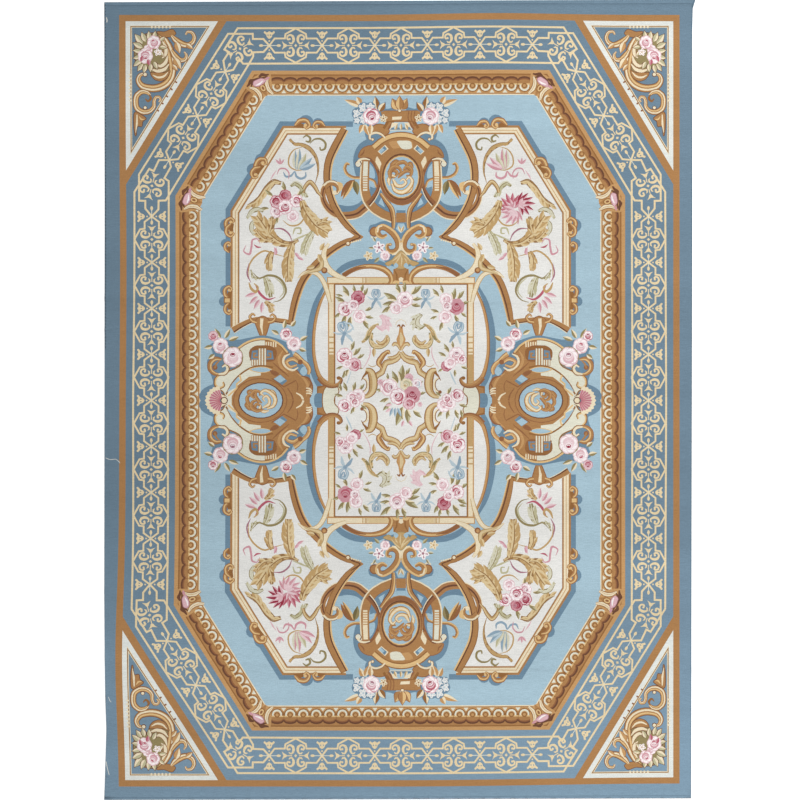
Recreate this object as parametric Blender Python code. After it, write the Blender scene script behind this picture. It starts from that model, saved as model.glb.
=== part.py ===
"""Flat-woven wool area rug, laid flat on the floor. Metres, +Z up.

The rug is one woven piece: its two ends are turned under as hems and its two
long sides are selvedges. It lies on z = 0, with its length along Y, and the
origin is the middle of its underside. Fold lines from storage cross it as low,
soft ridges, and the edges wander a little, as they do on a loom-woven rug.
"""

import bpy
import bmesh

# Driving dimensions
WIDTH = 2.690
LENGTH = 3.655
CLOTH = 0.004
HEM_DEPTH = 0.018
HEM_THICKNESS = 0.0055
HEM_SLOPE = 0.0018

# The grid that the rug is made on: columns across it, the longest step of a row
# between two folds, and where a fold's ridge is sampled, from -1 to 1 across it.
COLUMNS = 24
FIELD_STEP = 0.16
RIDGE_SAMPLES = (-1.0, -0.5, 0.0, 0.5, 1.0)

# How far each long edge stands out from a straight side, down the rug.
# Columns: share of the length from the top end, how far out in metres.
LEFT_EDGE = (
    (0.000, 0.000),
    (0.250, -0.002),
    (0.750, 0.000),
    (0.860, -0.003),
    (0.915, -0.010),
    (0.955, -0.005),
    (1.000, 0.000),
)
RIGHT_EDGE = (
    (0.000, 0.018),
    (0.007, 0.002),
    (0.260, 0.003),
    (0.600, 0.000),
    (1.000, -0.003),
)

# How far the ends stand out from their mean line, from the left corner to the right.
TOP_END = (-0.006, 0.007)
BOTTOM_END = (0.004, -0.004)

# Fold lines across the rug.
# Columns: share of the length at the left edge, the same at the right edge,
# height of the ridge, half of its width.
CREASES = (
    (0.372, 0.378, 0.0020, 0.020),
    (0.412, 0.418, 0.0020, 0.020),
    (0.738, 0.736, 0.0015, 0.020),
    (0.824, 0.838, 0.0030, 0.022),
)


def between(table, share):
    """The value of a two-column table at this share, on straight lines between its rows."""
    for (low, value_low), (high, value_high) in zip(table, table[1:]):
        if share <= high:
            return value_low + (value_high - value_low) * (share - low) / (high - low)
    return table[-1][1]


def mix(a, b, share):
    return a + (b - a) * share


def rows_of_points():
    """Every cross row, from the top end down.

    A row is its share of the length at the left and at the right edge, its lift
    off the floor, and the cloth's thickness there.
    """
    hem = HEM_DEPTH / LENGTH
    field = (HEM_DEPTH + HEM_SLOPE) / LENGTH
    rows = [(0.0, 0.0, 0.0, HEM_THICKNESS), (hem, hem, 0.0, HEM_THICKNESS), (field, field, 0.0, CLOTH)]
    for left, right, height, half in CREASES:
        reach = half / LENGTH
        fill_rows(rows, left - reach, right - reach)
        for sample in RIDGE_SAMPLES:
            lift = height * (1.0 - sample * sample) ** 2
            rows.append((left + sample * reach, right + sample * reach, lift, CLOTH))
    fill_rows(rows, 1.0 - field, 1.0 - field)
    rows.append((1.0 - field, 1.0 - field, 0.0, CLOTH))
    rows.append((1.0 - hem, 1.0 - hem, 0.0, HEM_THICKNESS))
    rows.append((1.0, 1.0, 0.0, HEM_THICKNESS))
    return rows


def fill_rows(rows, left, right):
    """Adds flat rows between the last row and the row that starts the next feature."""
    last_left, last_right = rows[-1][:2]
    count = int((left - last_left) * LENGTH / FIELD_STEP)
    for i in range(1, count + 1):
        share = i / (count + 1)
        rows.append((mix(last_left, left, share), mix(last_right, right, share), 0.0, CLOTH))


def place(column, row):
    """A point of the underside from its column's share of the width and its row."""
    left, right, lift, _ = row
    down = mix(left, right, column)
    out_left = between(LEFT_EDGE, down)
    out_right = between(RIGHT_EDGE, down)
    x = mix(-WIDTH / 2 - out_left, WIDTH / 2 + out_right, column)
    top = LENGTH / 2 + mix(*TOP_END, column)
    bottom = -LENGTH / 2 - mix(*BOTTOM_END, column)
    return x, mix(top, bottom, down), lift


def clear_scene():
    for obj in list(bpy.data.objects):
        bpy.data.objects.remove(obj)


def wool_material():
    material = bpy.data.materials.new("blue_wool")
    material.use_nodes = True
    shader = material.node_tree.nodes["Principled BSDF"]
    shader.inputs["Base Color"].default_value = (0.20, 0.34, 0.46, 1.0)
    shader.inputs["Roughness"].default_value = 0.95
    shader.inputs["Metallic"].default_value = 0.0
    return material


def woven_rug(collection):
    """The whole rug: its underside as a grid of rows and columns, raised to the cloth's thickness."""
    rows = rows_of_points()
    last_row = len(rows) - 1
    bm = bmesh.new()
    bmesh.ops.create_grid(bm, x_segments=COLUMNS, y_segments=last_row, size=0.5)
    raised = bmesh.ops.extrude_face_region(bm, geom=bm.faces[:], use_keep_orig=True)
    upper = {part for part in raised["geom"] if isinstance(part, bmesh.types.BMVert)}
    for vertex in bm.verts:
        row = rows[round((0.5 - vertex.co.y) * last_row)]
        vertex.co = place(vertex.co.x + 0.5, row)
        if vertex in upper:
            vertex.co.z += row[3]
    bmesh.ops.recalc_face_normals(bm, faces=bm.faces[:])
    centre_on_box(bm)
    mesh = bpy.data.meshes.new("rug")
    bm.to_mesh(mesh)
    bm.free()
    mesh.materials.append(wool_material())
    rug = bpy.data.objects.new("rug", mesh)
    collection.objects.link(rug)
    return rug


def centre_on_box(bm):
    """Moves the mesh so that the origin is the middle of the underside of its box."""
    for axis in (0, 1):
        low = min(v.co[axis] for v in bm.verts)
        high = max(v.co[axis] for v in bm.verts)
        for vertex in bm.verts:
            vertex.co[axis] -= (low + high) / 2


clear_scene()
parts = bpy.data.collections.new("area_rug")
bpy.context.scene.collection.children.link(parts)
woven_rug(parts)
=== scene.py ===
"""A flat-woven wool rug with a carpet-room design, laid on a pale floor and seen from above.

The design is drawn in chart squares, 4.58 mm each, x to the right and y towards
the rug's top end, from the middle of the design. Shapes lie one over another,
and the rug's upper face is the flat map of all of them, so each wool colour is
its own patch of the cloth.
"""

import math
from contextlib import contextmanager

import bpy
import numpy as np
from mathutils import Matrix, Vector
from mathutils.geometry import delaunay_2d_cdt


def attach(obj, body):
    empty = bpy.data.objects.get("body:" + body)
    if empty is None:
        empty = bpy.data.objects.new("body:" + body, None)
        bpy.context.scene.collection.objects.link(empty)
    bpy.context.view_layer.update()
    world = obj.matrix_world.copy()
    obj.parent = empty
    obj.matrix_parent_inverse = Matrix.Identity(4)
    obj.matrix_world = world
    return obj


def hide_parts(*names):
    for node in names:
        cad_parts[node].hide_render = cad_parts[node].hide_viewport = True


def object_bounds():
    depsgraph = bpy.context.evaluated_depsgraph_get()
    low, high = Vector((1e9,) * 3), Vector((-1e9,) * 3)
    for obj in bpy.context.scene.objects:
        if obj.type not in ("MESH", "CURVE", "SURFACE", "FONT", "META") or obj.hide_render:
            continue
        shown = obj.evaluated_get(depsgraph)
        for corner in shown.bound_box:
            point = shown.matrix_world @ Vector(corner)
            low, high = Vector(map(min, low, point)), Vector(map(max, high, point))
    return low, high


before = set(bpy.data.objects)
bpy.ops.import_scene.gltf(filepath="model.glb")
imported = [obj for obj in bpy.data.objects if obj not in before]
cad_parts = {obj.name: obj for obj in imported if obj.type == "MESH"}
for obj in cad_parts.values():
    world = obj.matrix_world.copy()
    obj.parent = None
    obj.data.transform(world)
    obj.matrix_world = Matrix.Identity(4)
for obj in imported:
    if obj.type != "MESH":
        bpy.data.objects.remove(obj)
CAD_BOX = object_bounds()

# Wool colours, as red, green and blue from 0 to 255 on a screen
SLATE = (109, 132, 149)
GOLD = (166, 122, 77)
GOLD_DEEP = (142, 98, 56)
GOLD_MID = (188, 145, 96)
GOLD_LIGHT = (214, 180, 128)
CREAM = (226, 212, 182)
CREAM_COOL = (216, 214, 196)
FRET = (222, 202, 162)
BROWN = (104, 68, 50)
BROWN_RED = (140, 94, 62)
GOLD_BROWN = (164, 118, 78)
FIELD = (160, 186, 199)
SHADE = (106, 133, 152)
IVORY = (222, 221, 217)
BAND_WHITE = (216, 219, 214)
PETAL = (240, 232, 232)
BLUSH = (222, 194, 198)
PINK = (198, 146, 154)
ROSE = (176, 92, 106)
CRIMSON = (148, 50, 68)
OLIVE = (142, 128, 88)
SAGE = (182, 176, 142)
SAGE_PALE = (206, 202, 180)
MOSS = (112, 100, 66)
OCHRE_MID = (184, 152, 104)
OCHRE_LIGHT = (210, 188, 146)
MAUVE = (160, 112, 124)
LEAF_BROWN = (146, 112, 72)
# The hems' seams, and also the painted shade along the rounded right edge
SEAM_AND_EDGE_SHADE = (94, 115, 131)
OVERCAST = (66, 84, 98)
THREAD = (206, 206, 200)
BLUSH_DEEP = (212, 172, 178)
RIBBON = (178, 194, 202)
RIBBON_DEEP = (136, 158, 174)


# The drawing kit


def mix(a, b, share):
    return a + (b - a) * share


def blend_colour(one, other, share):
    return tuple(mix(a, b, share) for a, b in zip(one, other))


def signed_area(outline):
    total = 0.0
    for (x0, y0), (x1, y1) in zip(outline, outline[1:] + outline[:1]):
        total += x0 * y1 - x1 * y0
    return total / 2


def thinned(points, fine):
    """The points that a line needs to keep within this distance of all of them."""
    if len(points) < 3:
        return list(points)
    (x0, y0), (x1, y1) = points[0], points[-1]
    reach = math.hypot(x1 - x0, y1 - y0)
    worst, place = -1.0, 0
    for i, (x, y) in enumerate(points[1:-1], 1):
        if reach < 1e-6:
            away = math.hypot(x - x0, y - y0)
        else:
            away = abs((x1 - x0) * (y - y0) - (y1 - y0) * (x - x0)) / reach
        if away > worst:
            worst, place = away, i
    if worst <= fine:
        return [points[0], points[-1]]
    return thinned(points[: place + 1], fine)[:-1] + thinned(points[place:], fine)


# How far a curve may stray from its bend, and the longest step along it, in squares.
FINE = 0.16
CURVE_STEP = 1.2
# A disc's sides: the fewest, and how many for the root of its radius.
LEAST_SIDES = 6
SIDES_PER_ROOT = 4.6


def smooth(route, closed=False, fine=FINE):
    """One smooth curve through the points of a route, with no more points than its bends need."""
    count = len(route)
    if count < 3:
        return list(route)
    spans = count if closed else count - 1
    curve = []
    for i in range(spans):
        if closed:
            p0, p1, p2, p3 = (route[(i + k) % count] for k in (-1, 0, 1, 2))
        else:
            p0, p1, p2, p3 = (route[min(max(i + k, 0), count - 1)] for k in (-1, 0, 1, 2))
        span = math.dist(p1, p2)
        before = math.dist(p0, p1) or span
        after = math.dist(p2, p3) or span
        tangents = []
        for axis in (0, 1):
            left = (p1[axis] - p0[axis]) / before
            here = (p2[axis] - p1[axis]) / span
            right = (p3[axis] - p2[axis]) / after
            start = (left * span + here * before) / (span + before) if p0 != p1 else here
            end = (here * after + right * span) / (span + after) if p3 != p2 else here
            tangents.append((start * span, end * span))
        steps = max(3, math.ceil(span / CURVE_STEP))
        for step in range(steps):
            t = step / steps
            a = 2 * t ** 3 - 3 * t ** 2 + 1
            b = t ** 3 - 2 * t ** 2 + t
            c = 3 * t ** 2 - 2 * t ** 3
            d = t ** 3 - t ** 2
            curve.append(tuple(
                a * p1[k] + b * tangents[k][0] + c * p2[k] + d * tangents[k][1] for k in (0, 1)
            ))
    if closed:
        half = len(curve) // 2
        return thinned(curve[: half + 1], fine)[:-1] + thinned(curve[half:] + curve[:1], fine)[:-1]
    return thinned(curve + [tuple(route[-1])], fine)


def profile(widths, share):
    """The width at a share of the way, from widths spread evenly along it."""
    if isinstance(widths, (int, float)):
        return widths
    place = share * (len(widths) - 1)
    low = min(int(place), len(widths) - 2)
    return mix(widths[low], widths[low + 1], place - low)


class Chart:
    """The design: outlines in chart squares, each with its paint, later ones over earlier ones."""

    def __init__(self):
        self.outlines = []
        self.paints = []
        self.place = Matrix.Identity(3)

    @contextmanager
    def at(self, x=0.0, y=0.0, turn=0.0, size=1.0, flip=1.0):
        """Draws what follows moved here, turned by these degrees, scaled, and mirrored where flip is -1."""
        kept = self.place
        c, s = math.cos(math.radians(turn)), math.sin(math.radians(turn))
        local = Matrix((
            (size * c, -size * s * flip, x),
            (size * s, size * c * flip, y),
            (0.0, 0.0, 1.0),
        ))
        self.place = kept @ local
        yield
        self.place = kept

    @contextmanager
    def mirrored(self, sx, sy):
        """Draws what follows in the quadrant with these signs of x and y, from its top left twin."""
        kept = self.place
        self.place = kept @ Matrix(((-sx, 0.0, 0.0), (0.0, sy, 0.0), (0.0, 0.0, 1.0)))
        yield
        self.place = kept

    def fill(self, outline, paint):
        """A filled outline, of points in order around a shape that doesn't cross itself."""
        (a, b, c), (d, e, f), _ = self.place
        placed = [(a * x + b * y + c, d * x + e * y + f) for x, y in outline]
        area = signed_area(placed)
        if abs(area) < 0.01:
            return
        if area < 0:
            placed.reverse()
        self.paints.append(paint)
        self.outlines.append(placed)

    def blob(self, outline, paint):
        """A filled smooth outline through these points."""
        self.fill(smooth(outline, closed=True), paint)

    def disc(self, x, y, radius, paint, other=None):
        """A filled circle, or an ellipse with its other radius."""
        other = other or radius
        scale = math.sqrt(abs(self.place.determinant()))
        sides = max(LEAST_SIDES, math.ceil(SIDES_PER_ROOT * math.sqrt(max(radius, other) * scale)))
        angles = [2 * math.pi * i / sides for i in range(sides)]
        self.fill([(x + radius * math.cos(a), y + other * math.sin(a)) for a in angles], paint)

    def ribbon(self, route, widths, bands, curved=True, fine=FINE):
        """Bands of paint along a route.

        A band is where it starts and ends across the ribbon, from -1 on its right
        side to 1 on its left, and its paint. The widths are the ribbon's whole width.
        """
        line = smooth(route, fine=fine) if curved else list(route)
        lengths = [0.0]
        for p, q in zip(line, line[1:]):
            lengths.append(lengths[-1] + math.dist(p, q))
        total = lengths[-1] or 1.0
        sides = []
        for i, (x, y) in enumerate(line):
            before = line[max(i - 1, 0)]
            after = line[min(i + 1, len(line) - 1)]
            into = math.atan2(y - before[1], x - before[0]) if i else None
            out = math.atan2(after[1] - y, after[0] - x) if i < len(line) - 1 else into
            into = out if into is None else into
            bend = (out - into + math.pi) % (2 * math.pi) - math.pi
            angle = into + bend / 2
            stretch = 1 / max(0.5, math.cos(bend / 2))
            half = profile(widths, lengths[i] / total) / 2 * stretch
            sides.append((-math.sin(angle) * half, math.cos(angle) * half))
        for low, high, paint in bands:
            for i in range(len(line) - 1):
                (x0, y0), (x1, y1) = line[i], line[i + 1]
                (u0, v0), (u1, v1) = sides[i], sides[i + 1]
                a = (x0 + u0 * low, y0 + v0 * low)
                b = (x1 + u1 * low, y1 + v1 * low)
                c = (x1 + u1 * high, y1 + v1 * high)
                d = (x0 + u0 * high, y0 + v0 * high)
                if signed_area([a, b, c]) > 0 and signed_area([a, c, d]) > 0 and signed_area([b, c,
                                                                                              d]) > 0:
                    self.fill([a, b, c, d], paint)
                else:
                    self.fill([a, b, c], paint)
                    self.fill([a, c, d], paint)

    def stroke(self, route, widths, paint, curved=True, fine=FINE):
        """A line of one paint along a route."""
        self.ribbon(route, widths, ((-1, 1, paint),), curved, fine)


chart = Chart()
QUADRANTS = ((-1, 1), (1, 1), (-1, -1), (1, -1))


# The design's layout, in chart squares

RUG_HALF = (293, 399.5)
GUARD_HALF = (280.2, 386)
GUARD_WIDTH = 6.4
# How far the seams of the top and the bottom hem lie from their ends.
HEM_SEAM = (4, 2)
# The eight-sided bands lie around the field, each at its own distance from the field's edge.
FIELD_HALF = (200, 305)
FIELD_CORNER = (134.5, 305)
DIAGONAL = math.radians(58.6)


def octagon(out):
    """The eight-sided outline that lies this far outside the field's edge."""
    half_x, half_y = FIELD_HALF[0] + out, FIELD_HALF[1] + out
    normal = (math.sin(DIAGONAL), math.cos(DIAGONAL))
    reach = FIELD_CORNER[0] * normal[0] + FIELD_CORNER[1] * normal[1] + out
    top_x = (reach - half_y * normal[1]) / normal[0]
    side_y = (reach - half_x * normal[0]) / normal[1]
    quarter = [(top_x, half_y), (half_x, side_y)]
    return (
        quarter
        + [(x, -y) for x, y in reversed(quarter)]
        + [(-x, -y) for x, y in quarter]
        + [(-x, y) for x, y in reversed(quarter)]
    )


def rectangle(half_x, half_y):
    return [(-half_x, -half_y), (half_x, -half_y), (half_x, half_y), (-half_x, half_y)]


def draw_ground():
    """The slate ground, the gold guard stripe and the bands around the field."""
    chart.fill(rectangle(*RUG_HALF), SLATE)
    chart.fill(rectangle(*GUARD_HALF), GOLD)
    chart.fill(rectangle(GUARD_HALF[0] - GUARD_WIDTH, GUARD_HALF[1] - GUARD_WIDTH), SLATE)


# Loose pale threads on the cloth, each a route and its width.
THREADS = (
    ([(-292, -57.4), (-287.6, -59.2), (-283.4, -58.6), (-279.2, -62.6)], 0.6),
    ([(-292.4, -361), (-291, -367.6), (-289, -374.4)], 0.7),
    ([(-289.2, -296.4), (-287.6, -300), (-286, -301.6)], 0.7),
    ([(-124.2, -281.6), (-122.6, -285.4), (-122.4, -289.8)], 0.5),
    ([(-291.4, 383.6), (-290.6, 381), (-290.8, 378.4)], 0.9),
)
# The overcast stitches: how far apart, how many, and how far the first lies below the top end.
OVERCAST_STEP = 3.3
OVERCAST_COUNT = 105
OVERCAST_TOP = 2


def draw_edges():
    """The hems' seams, the overcast stitches of the left selvedge and a painted shade line along the right
    edge, where its rounded edge turns from the light.
    """
    half_x, half_y = RUG_HALF
    for y in (half_y - HEM_SEAM[0], HEM_SEAM[1] - half_y):
        chart.fill([(-half_x, y), (half_x, y), (half_x, y + 0.6), (-half_x, y + 0.6)], SEAM_AND_EDGE_SHADE)
    # Painted shade: a dark strip along the right edge stands in for the shade on its rounded edge.
    chart.fill([(half_x - 1, -half_y), (half_x, -half_y), (half_x, half_y), (half_x - 1, half_y)], SEAM_AND_EDGE_SHADE)
    for i in range(OVERCAST_COUNT):
        y = half_y - OVERCAST_TOP - OVERCAST_STEP * i
        chart.fill([(-half_x, y), (-half_x, y - 1.5), (1.2 - half_x, y - 2), (1.2 - half_x, y - 0.6)],
                   OVERCAST)
    for route, width in THREADS:
        chart.stroke(route, width, THREAD)


FRET_LINE = 1.9
STRAP = 1.75
CORNER_GOLD = (72.6, 79.8)
CORNER_WHITE = 84.6


def draw_corner_grounds():
    """The three-sided corner panels: a gold stripe, then a white band round a slate ground."""
    inner_x, inner_y = GUARD_HALF[0] - GUARD_WIDTH, GUARD_HALF[1] - GUARD_WIDTH
    normal = (math.sin(DIAGONAL), math.cos(DIAGONAL))
    field_reach = FIELD_CORNER[0] * normal[0] + FIELD_CORNER[1] * normal[1]

    def triangle(out, inset):
        reach = field_reach + out
        x, y = inner_x - inset, inner_y - inset
        return [(-x, y), (-x, (reach - x * normal[0]) / normal[1]), (-(reach - y * normal[1]) / normal[0],
                                                                     y)]

    for sx, sy in QUADRANTS:
        with chart.mirrored(sx, sy):
            chart.fill(triangle(CORNER_GOLD[0], 0), GOLD)
            chart.fill(triangle(CORNER_GOLD[1], 0), BAND_WHITE)
            chart.fill(triangle(CORNER_WHITE - 0.6, 4.4), CREAM)
            chart.fill(triangle(CORNER_WHITE, 4.8), GOLD_DEEP)
            chart.fill(triangle(CORNER_WHITE + 0.8, 5.6), CREAM)
            chart.fill(triangle(CORNER_WHITE + 1.5, 6.3), SLATE)
            draw_ticks((-248, 373.8), (-230, 373.8), 6, CREAM)
            draw_ticks((-269.5, 326), (-269.5, 300), 8, CREAM)
            draw_ticks((-224, 318.5), (-242, 290), 5, BROWN_RED)


def draw_ticks(start, end, count, paint):
    """Short dashes across a line."""
    turn = math.degrees(math.atan2(end[1] - start[1], end[0] - start[0]))
    for i in range(count):
        share = i / (count - 1)
        with chart.at(mix(start[0], end[0], share), mix(start[1], end[1], share), turn):
            chart.fill([(-0.8, -1.2), (0.8, -1.2), (0.8, 1.2), (-0.8, 1.2)], paint)


def fret_knot():
    """A knot of the fretwork: four curls back to back around a dot, with a three-leaved end each way."""
    for flip_x in (1, -1):
        for flip_y in (1, -1):
            with chart.at(0, 0, 0 if flip_x > 0 else 180, 1, flip_x * flip_y):
                body = [(4.2, 1.4), (2.5, 3.8), (2, 6.6), (3.1, 9.5), (5.8, 10.6), (8.2, 9.2), (8.4, 6.8),
                        (6.9, 5.6)]
                chart.stroke(body, (1, 2.2, 2.7, 2.2, 1.8, 1.7, 1.8), FRET)
                chart.disc(6.1, 6.5, 1.2, FRET)
                chart.stroke([(3.4, 2.4), (5.6, 2.2), (6.9, 3.6)], (1.2, 1.6, 0.5), FRET)
        with chart.at(0, 0, 0 if flip_x > 0 else 180):
            chart.fill([(3.6, 0.5), (3.6, -0.5), (9.5, -0.4), (9.5, 0.4)], FRET)
            chart.blob([(8.4, 0), (10, 1.8), (11.6, 2.4), (13.8, 4.6), (13, 2), (12.2, 0),
                        (13, -2), (13.8, -4.6), (11.6, -2.4), (10, -1.8)], FRET)
    chart.fill([(1.5, 0), (0, 1.7), (-1.5, 0), (0, -1.7)], FRET)


def fret_cross():
    """A crossing of the fretwork: a tulip towards each line of the band."""
    for flip in (1, -1):
        with chart.at(0, 0, 90 * flip):
            chart.disc(4.6, 0, 0.9, FRET)
            chart.blob([(6.8, 0), (8.4, 2.4), (10.6, 3), (13.4, 5.6), (14.6, 4.6), (13, 2.6), (14.4, 0),
                        (13, -2.6), (14.6, -4.6), (13.4, -5.6), (10.6, -3), (8.4, -2.4)], FRET)
            chart.disc(10.4, 1.3, 0.9, SLATE, 0.6)
            chart.disc(10.4, -1.3, 0.9, SLATE, 0.6)


def fret_bud(reach):
    chart.fill([(0, 0.35), (0, -0.35), (reach, -0.35), (reach, 0.35)], CREAM_COOL)
    chart.disc(reach + 1.6, 0, 2.3, FRET, 1.4)


def fret_straps(step):
    """The straps between a knot at the start and a crossing one step on, and the bud between them."""
    for flip in (1, -1):
        strap = [(0, 17.2), (10.2, 11.6), (10.8, 7.1), (step - 5.4, 7.1), (step, 0)]
        chart.stroke([(u, flip * v) for u, v in strap], STRAP, FRET, curved=False)
    with chart.at(step, 0, 180):
        fret_bud(step - 18.5)


def draw_fret_run(first, last, knots):
    """A straight run of the fretwork between two crossings, with this many knots."""
    step = math.dist(first, last) / (2 * knots)
    turn = math.degrees(math.atan2(last[1] - first[1], last[0] - first[0]))
    with chart.at(first[0], first[1], turn):
        for i in range(knots):
            with chart.at((2 * i + 1) * step, 0):
                fret_knot()
                fret_straps(step)
            with chart.at((2 * i + 1) * step, 0, 180):
                fret_straps(step)
        for i in range(knots + 1):
            with chart.at(2 * i * step, 0):
                fret_cross()


# The crossings nearest to a corner of the fretwork, in the top left quarter: on the
# top run, the upper and lower one of the slanting run, and on the side run.
CROSS_TOP = (-131.5, 355.2)
CROSS_HIGH = (-175.4, 329)
CROSS_LOW = (-231, 240.5)
CROSS_SIDE = (-248.6, 184)


def draw_fret_corners():
    """A quarter's two corners, where each line of the band goes on as a strap of the next run."""
    top_strap = [CROSS_TOP, (-137.4, 361.8), (-147.8, 361.8), (-148, 367), (-172.5, 367)]
    low_strap = [CROSS_TOP, (-137.2, 348.8), (-147.4, 348.4), (-147.6, 344), (-151.5, 337.2)]
    side_strap = [CROSS_SIDE, (-254.9, 192), (-254.9, 199.6), (-261, 199.8), (-261, 226)]
    in_strap = [CROSS_SIDE, (-241.9, 191), (-241.7, 199.8), (-234.6, 200)]
    lines = (
        top_strap + side_strap[::-1],
        low_strap + in_strap[::-1],
        [(0, 372.8), (-163, 372.6), (-176.2, 351.2), (-171.6, 348.6), (-177.2, 340), CROSS_HIGH],
        [(0, 337.6), (-157.6, 337), (-161.2, 341.6), (-167.4, 330.8), CROSS_HIGH],
        [(-266.6, 0), (-265.6, 208.6), (-250.8, 231.6), (-246.4, 229.4), (-241.2, 240.4), CROSS_LOW],
        [(-232.4, 0), (-231.6, 219.4), (-235.8, 222.4), (-229.4, 233.6), CROSS_LOW],
    )
    for line in lines:
        chart.stroke(line, FRET_LINE, FRET, curved=False)
    for x, y, turn in ((-160.6, 352, 31), (-248.2, 214.6, 75)):
        with chart.at(x, y, turn):
            fret_knot()
    for x, y, turn in ((*CROSS_TOP, 180), (*CROSS_HIGH, 58), (*CROSS_LOW, 238), (*CROSS_SIDE, 90)):
        with chart.at(x, y, turn):
            fret_bud(6.6)


def draw_fretwork():
    """The slate band of fretwork between its two lines, around all eight sides."""
    for sx, sy in QUADRANTS:
        with chart.mirrored(sx, sy):
            draw_fret_corners()
            draw_fret_run(CROSS_HIGH, CROSS_LOW, 2)
    for flip in (1, -1):
        with chart.mirrored(-1, flip):
            draw_fret_run(CROSS_TOP, (-CROSS_TOP[0], CROSS_TOP[1]), 5)
    for flip in (1, -1):
        with chart.mirrored(-flip, 1):
            draw_fret_run(CROSS_SIDE, (CROSS_SIDE[0], -CROSS_SIDE[1]), 8)


# The row of cups around the field: its middle line, outside the field's edge, and
# the length that each cup takes.
CUP_OUT = 9.2
CUP_PITCH = 13
CUP_MARGIN = 9.6


def cup(pitch):
    """One cup of the moulding under its dark scallop, around a boss, its mouth outwards."""
    half = pitch / 2
    chart.fill([(half - 2.5, -6.9), (half + 2.5, -6.9), (half, -3.4)], CREAM_COOL)
    chart.disc(0, -0.2, 6.2, GOLD_DEEP)
    chart.disc(0, -0.2, 5.1, CREAM_COOL)
    chart.disc(0, 0, 3.5, GOLD_MID)
    chart.fill([(-half, 1.2), (half, 1.2), (half, 7.4), (-half, 7.4)], GOLD)
    chart.fill([(-half, 1), (half, 1), (half, 2.3), (-half, 2.3)], GOLD_LIGHT)
    chart.fill([(half - 0.5, -3.2), (half + 0.5, -3.2), (half + 0.5, 5), (half - 0.5, 5)], GOLD_DEEP)
    chart.disc(0, 0.2, 2.8, GOLD_DEEP)
    chart.disc(0, 0.2, 1.7, GOLD_MID)
    scallop = [(-half, 4.7), (-half * 0.8, 6.5), (-half * 0.35, 7.6), (half * 0.35, 7.6),
               (half * 0.8, 6.5), (half, 4.7)]
    chart.stroke(scallop, (1.6, 2.9, 3.2, 3.2, 2.9, 1.6), BROWN_RED)
    chart.stroke([(x, y + 0.7) for x, y in scallop], (1.2, 1.7, 1.8, 1.8, 1.7, 1.2), BROWN)


def draw_moulding():
    """The gold band with its dark scallops and the row of cups around the field."""
    chart.fill(octagon(25), GOLD_MID)
    chart.fill(octagon(21.2), GOLD_DEEP)
    chart.fill(octagon(20), GOLD)
    chart.fill(octagon(13), GOLD_MID)
    chart.fill(octagon(2.2), GOLD)
    chart.fill(octagon(1), CREAM)
    chart.fill(octagon(0), FIELD)
    middle = octagon(CUP_OUT)
    for i, start in enumerate(middle):
        end = middle[(i + 1) % 8]
        length = math.dist(start, end)
        count = round((length - 2 * CUP_MARGIN) / CUP_PITCH)
        pitch = (length - 2 * CUP_MARGIN) / count
        turn = math.degrees(math.atan2(end[1] - start[1], end[0] - start[0]))
        with chart.at(start[0], start[1], turn):
            for k in range(count):
                with chart.at(CUP_MARGIN + (k + 0.5) * pitch, 0):
                    cup(pitch)
    for i, (x, y) in enumerate(middle):
        before, after = middle[i - 1], middle[(i + 1) % 8]
        inward = math.atan2(y - before[1], x - before[0])
        outward = math.atan2(after[1] - y, after[0] - x)
        bend = (outward - inward + math.pi) % (2 * math.pi) - math.pi
        with chart.at(x, y, math.degrees(inward + bend / 2)):
            moulding_corner()


def moulding_corner():
    """The rose-coloured petal, the ring and the gold leaves that wrap a corner of the moulding."""
    chart.blob([(-14, 9), (-5, 11.4), (5, 11.4), (14, 9), (11, -2), (6.4, -9), (0, -11), (-6.4, -9),
                (-11, -2)], GOLD_MID)
    for flip in (1, -1):
        with chart.at(0, 0, 0 if flip > 0 else 180, 1, flip):
            arm = [(10.6, 4.6), (7, 1), (5, -5.6), (6.6, -12.6)]
            chart.ribbon(arm, (2, 4.8, 5.2, 2.6), ((-1, 1, GOLD_DEEP), (-0.7, 0.66, CREAM),
                                                   (0, 0.2, GOLD_MID)))
            chart.stroke([(2.6, 9.4), (6, 10), (9.6, 7.6), (12.6, 6.6)], (1.6, 3.4, 2.6, 1.4), BROWN)
    chart.stroke([(-9, 4.4), (-4.6, 8.4), (0.4, 8.8), (5, 6.6), (10.6, 5.6)], (1, 3.2, 1.6, 2.2, 0.8),
                 BROWN)
    chart.fill([(-2.6, -5), (3.4, -5), (0.4, -11.4)], GOLD)
    chart.disc(0.8, -2.4, 3.4, GOLD_DEEP, 4.4)
    chart.disc(0.8, -2.4, 2.4, GOLD_LIGHT, 3.4)
    chart.disc(0.8, -2.4, 1.2, BROWN_RED, 2)
    outlined([(-6, 4.6), (-3, 1.8), (2, 1.6), (7, 3), (4.6, 6.4), (0, 7.6), (-4.4, 7.4)], MAUVE,
             BLUSH_DEEP, 0.6)
    chart.stroke([(-4, 3.4), (0, 3), (4.4, 4)], (0.8, 1.8, 0.8), PETAL)
    chart.blob([(6.6, 3.2), (9.6, 2.6), (12.2, 4), (10, 5.2), (7.6, 5)], PINK)


# Leaves, scrolls and flowers, each drawn from its own base along x


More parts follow.
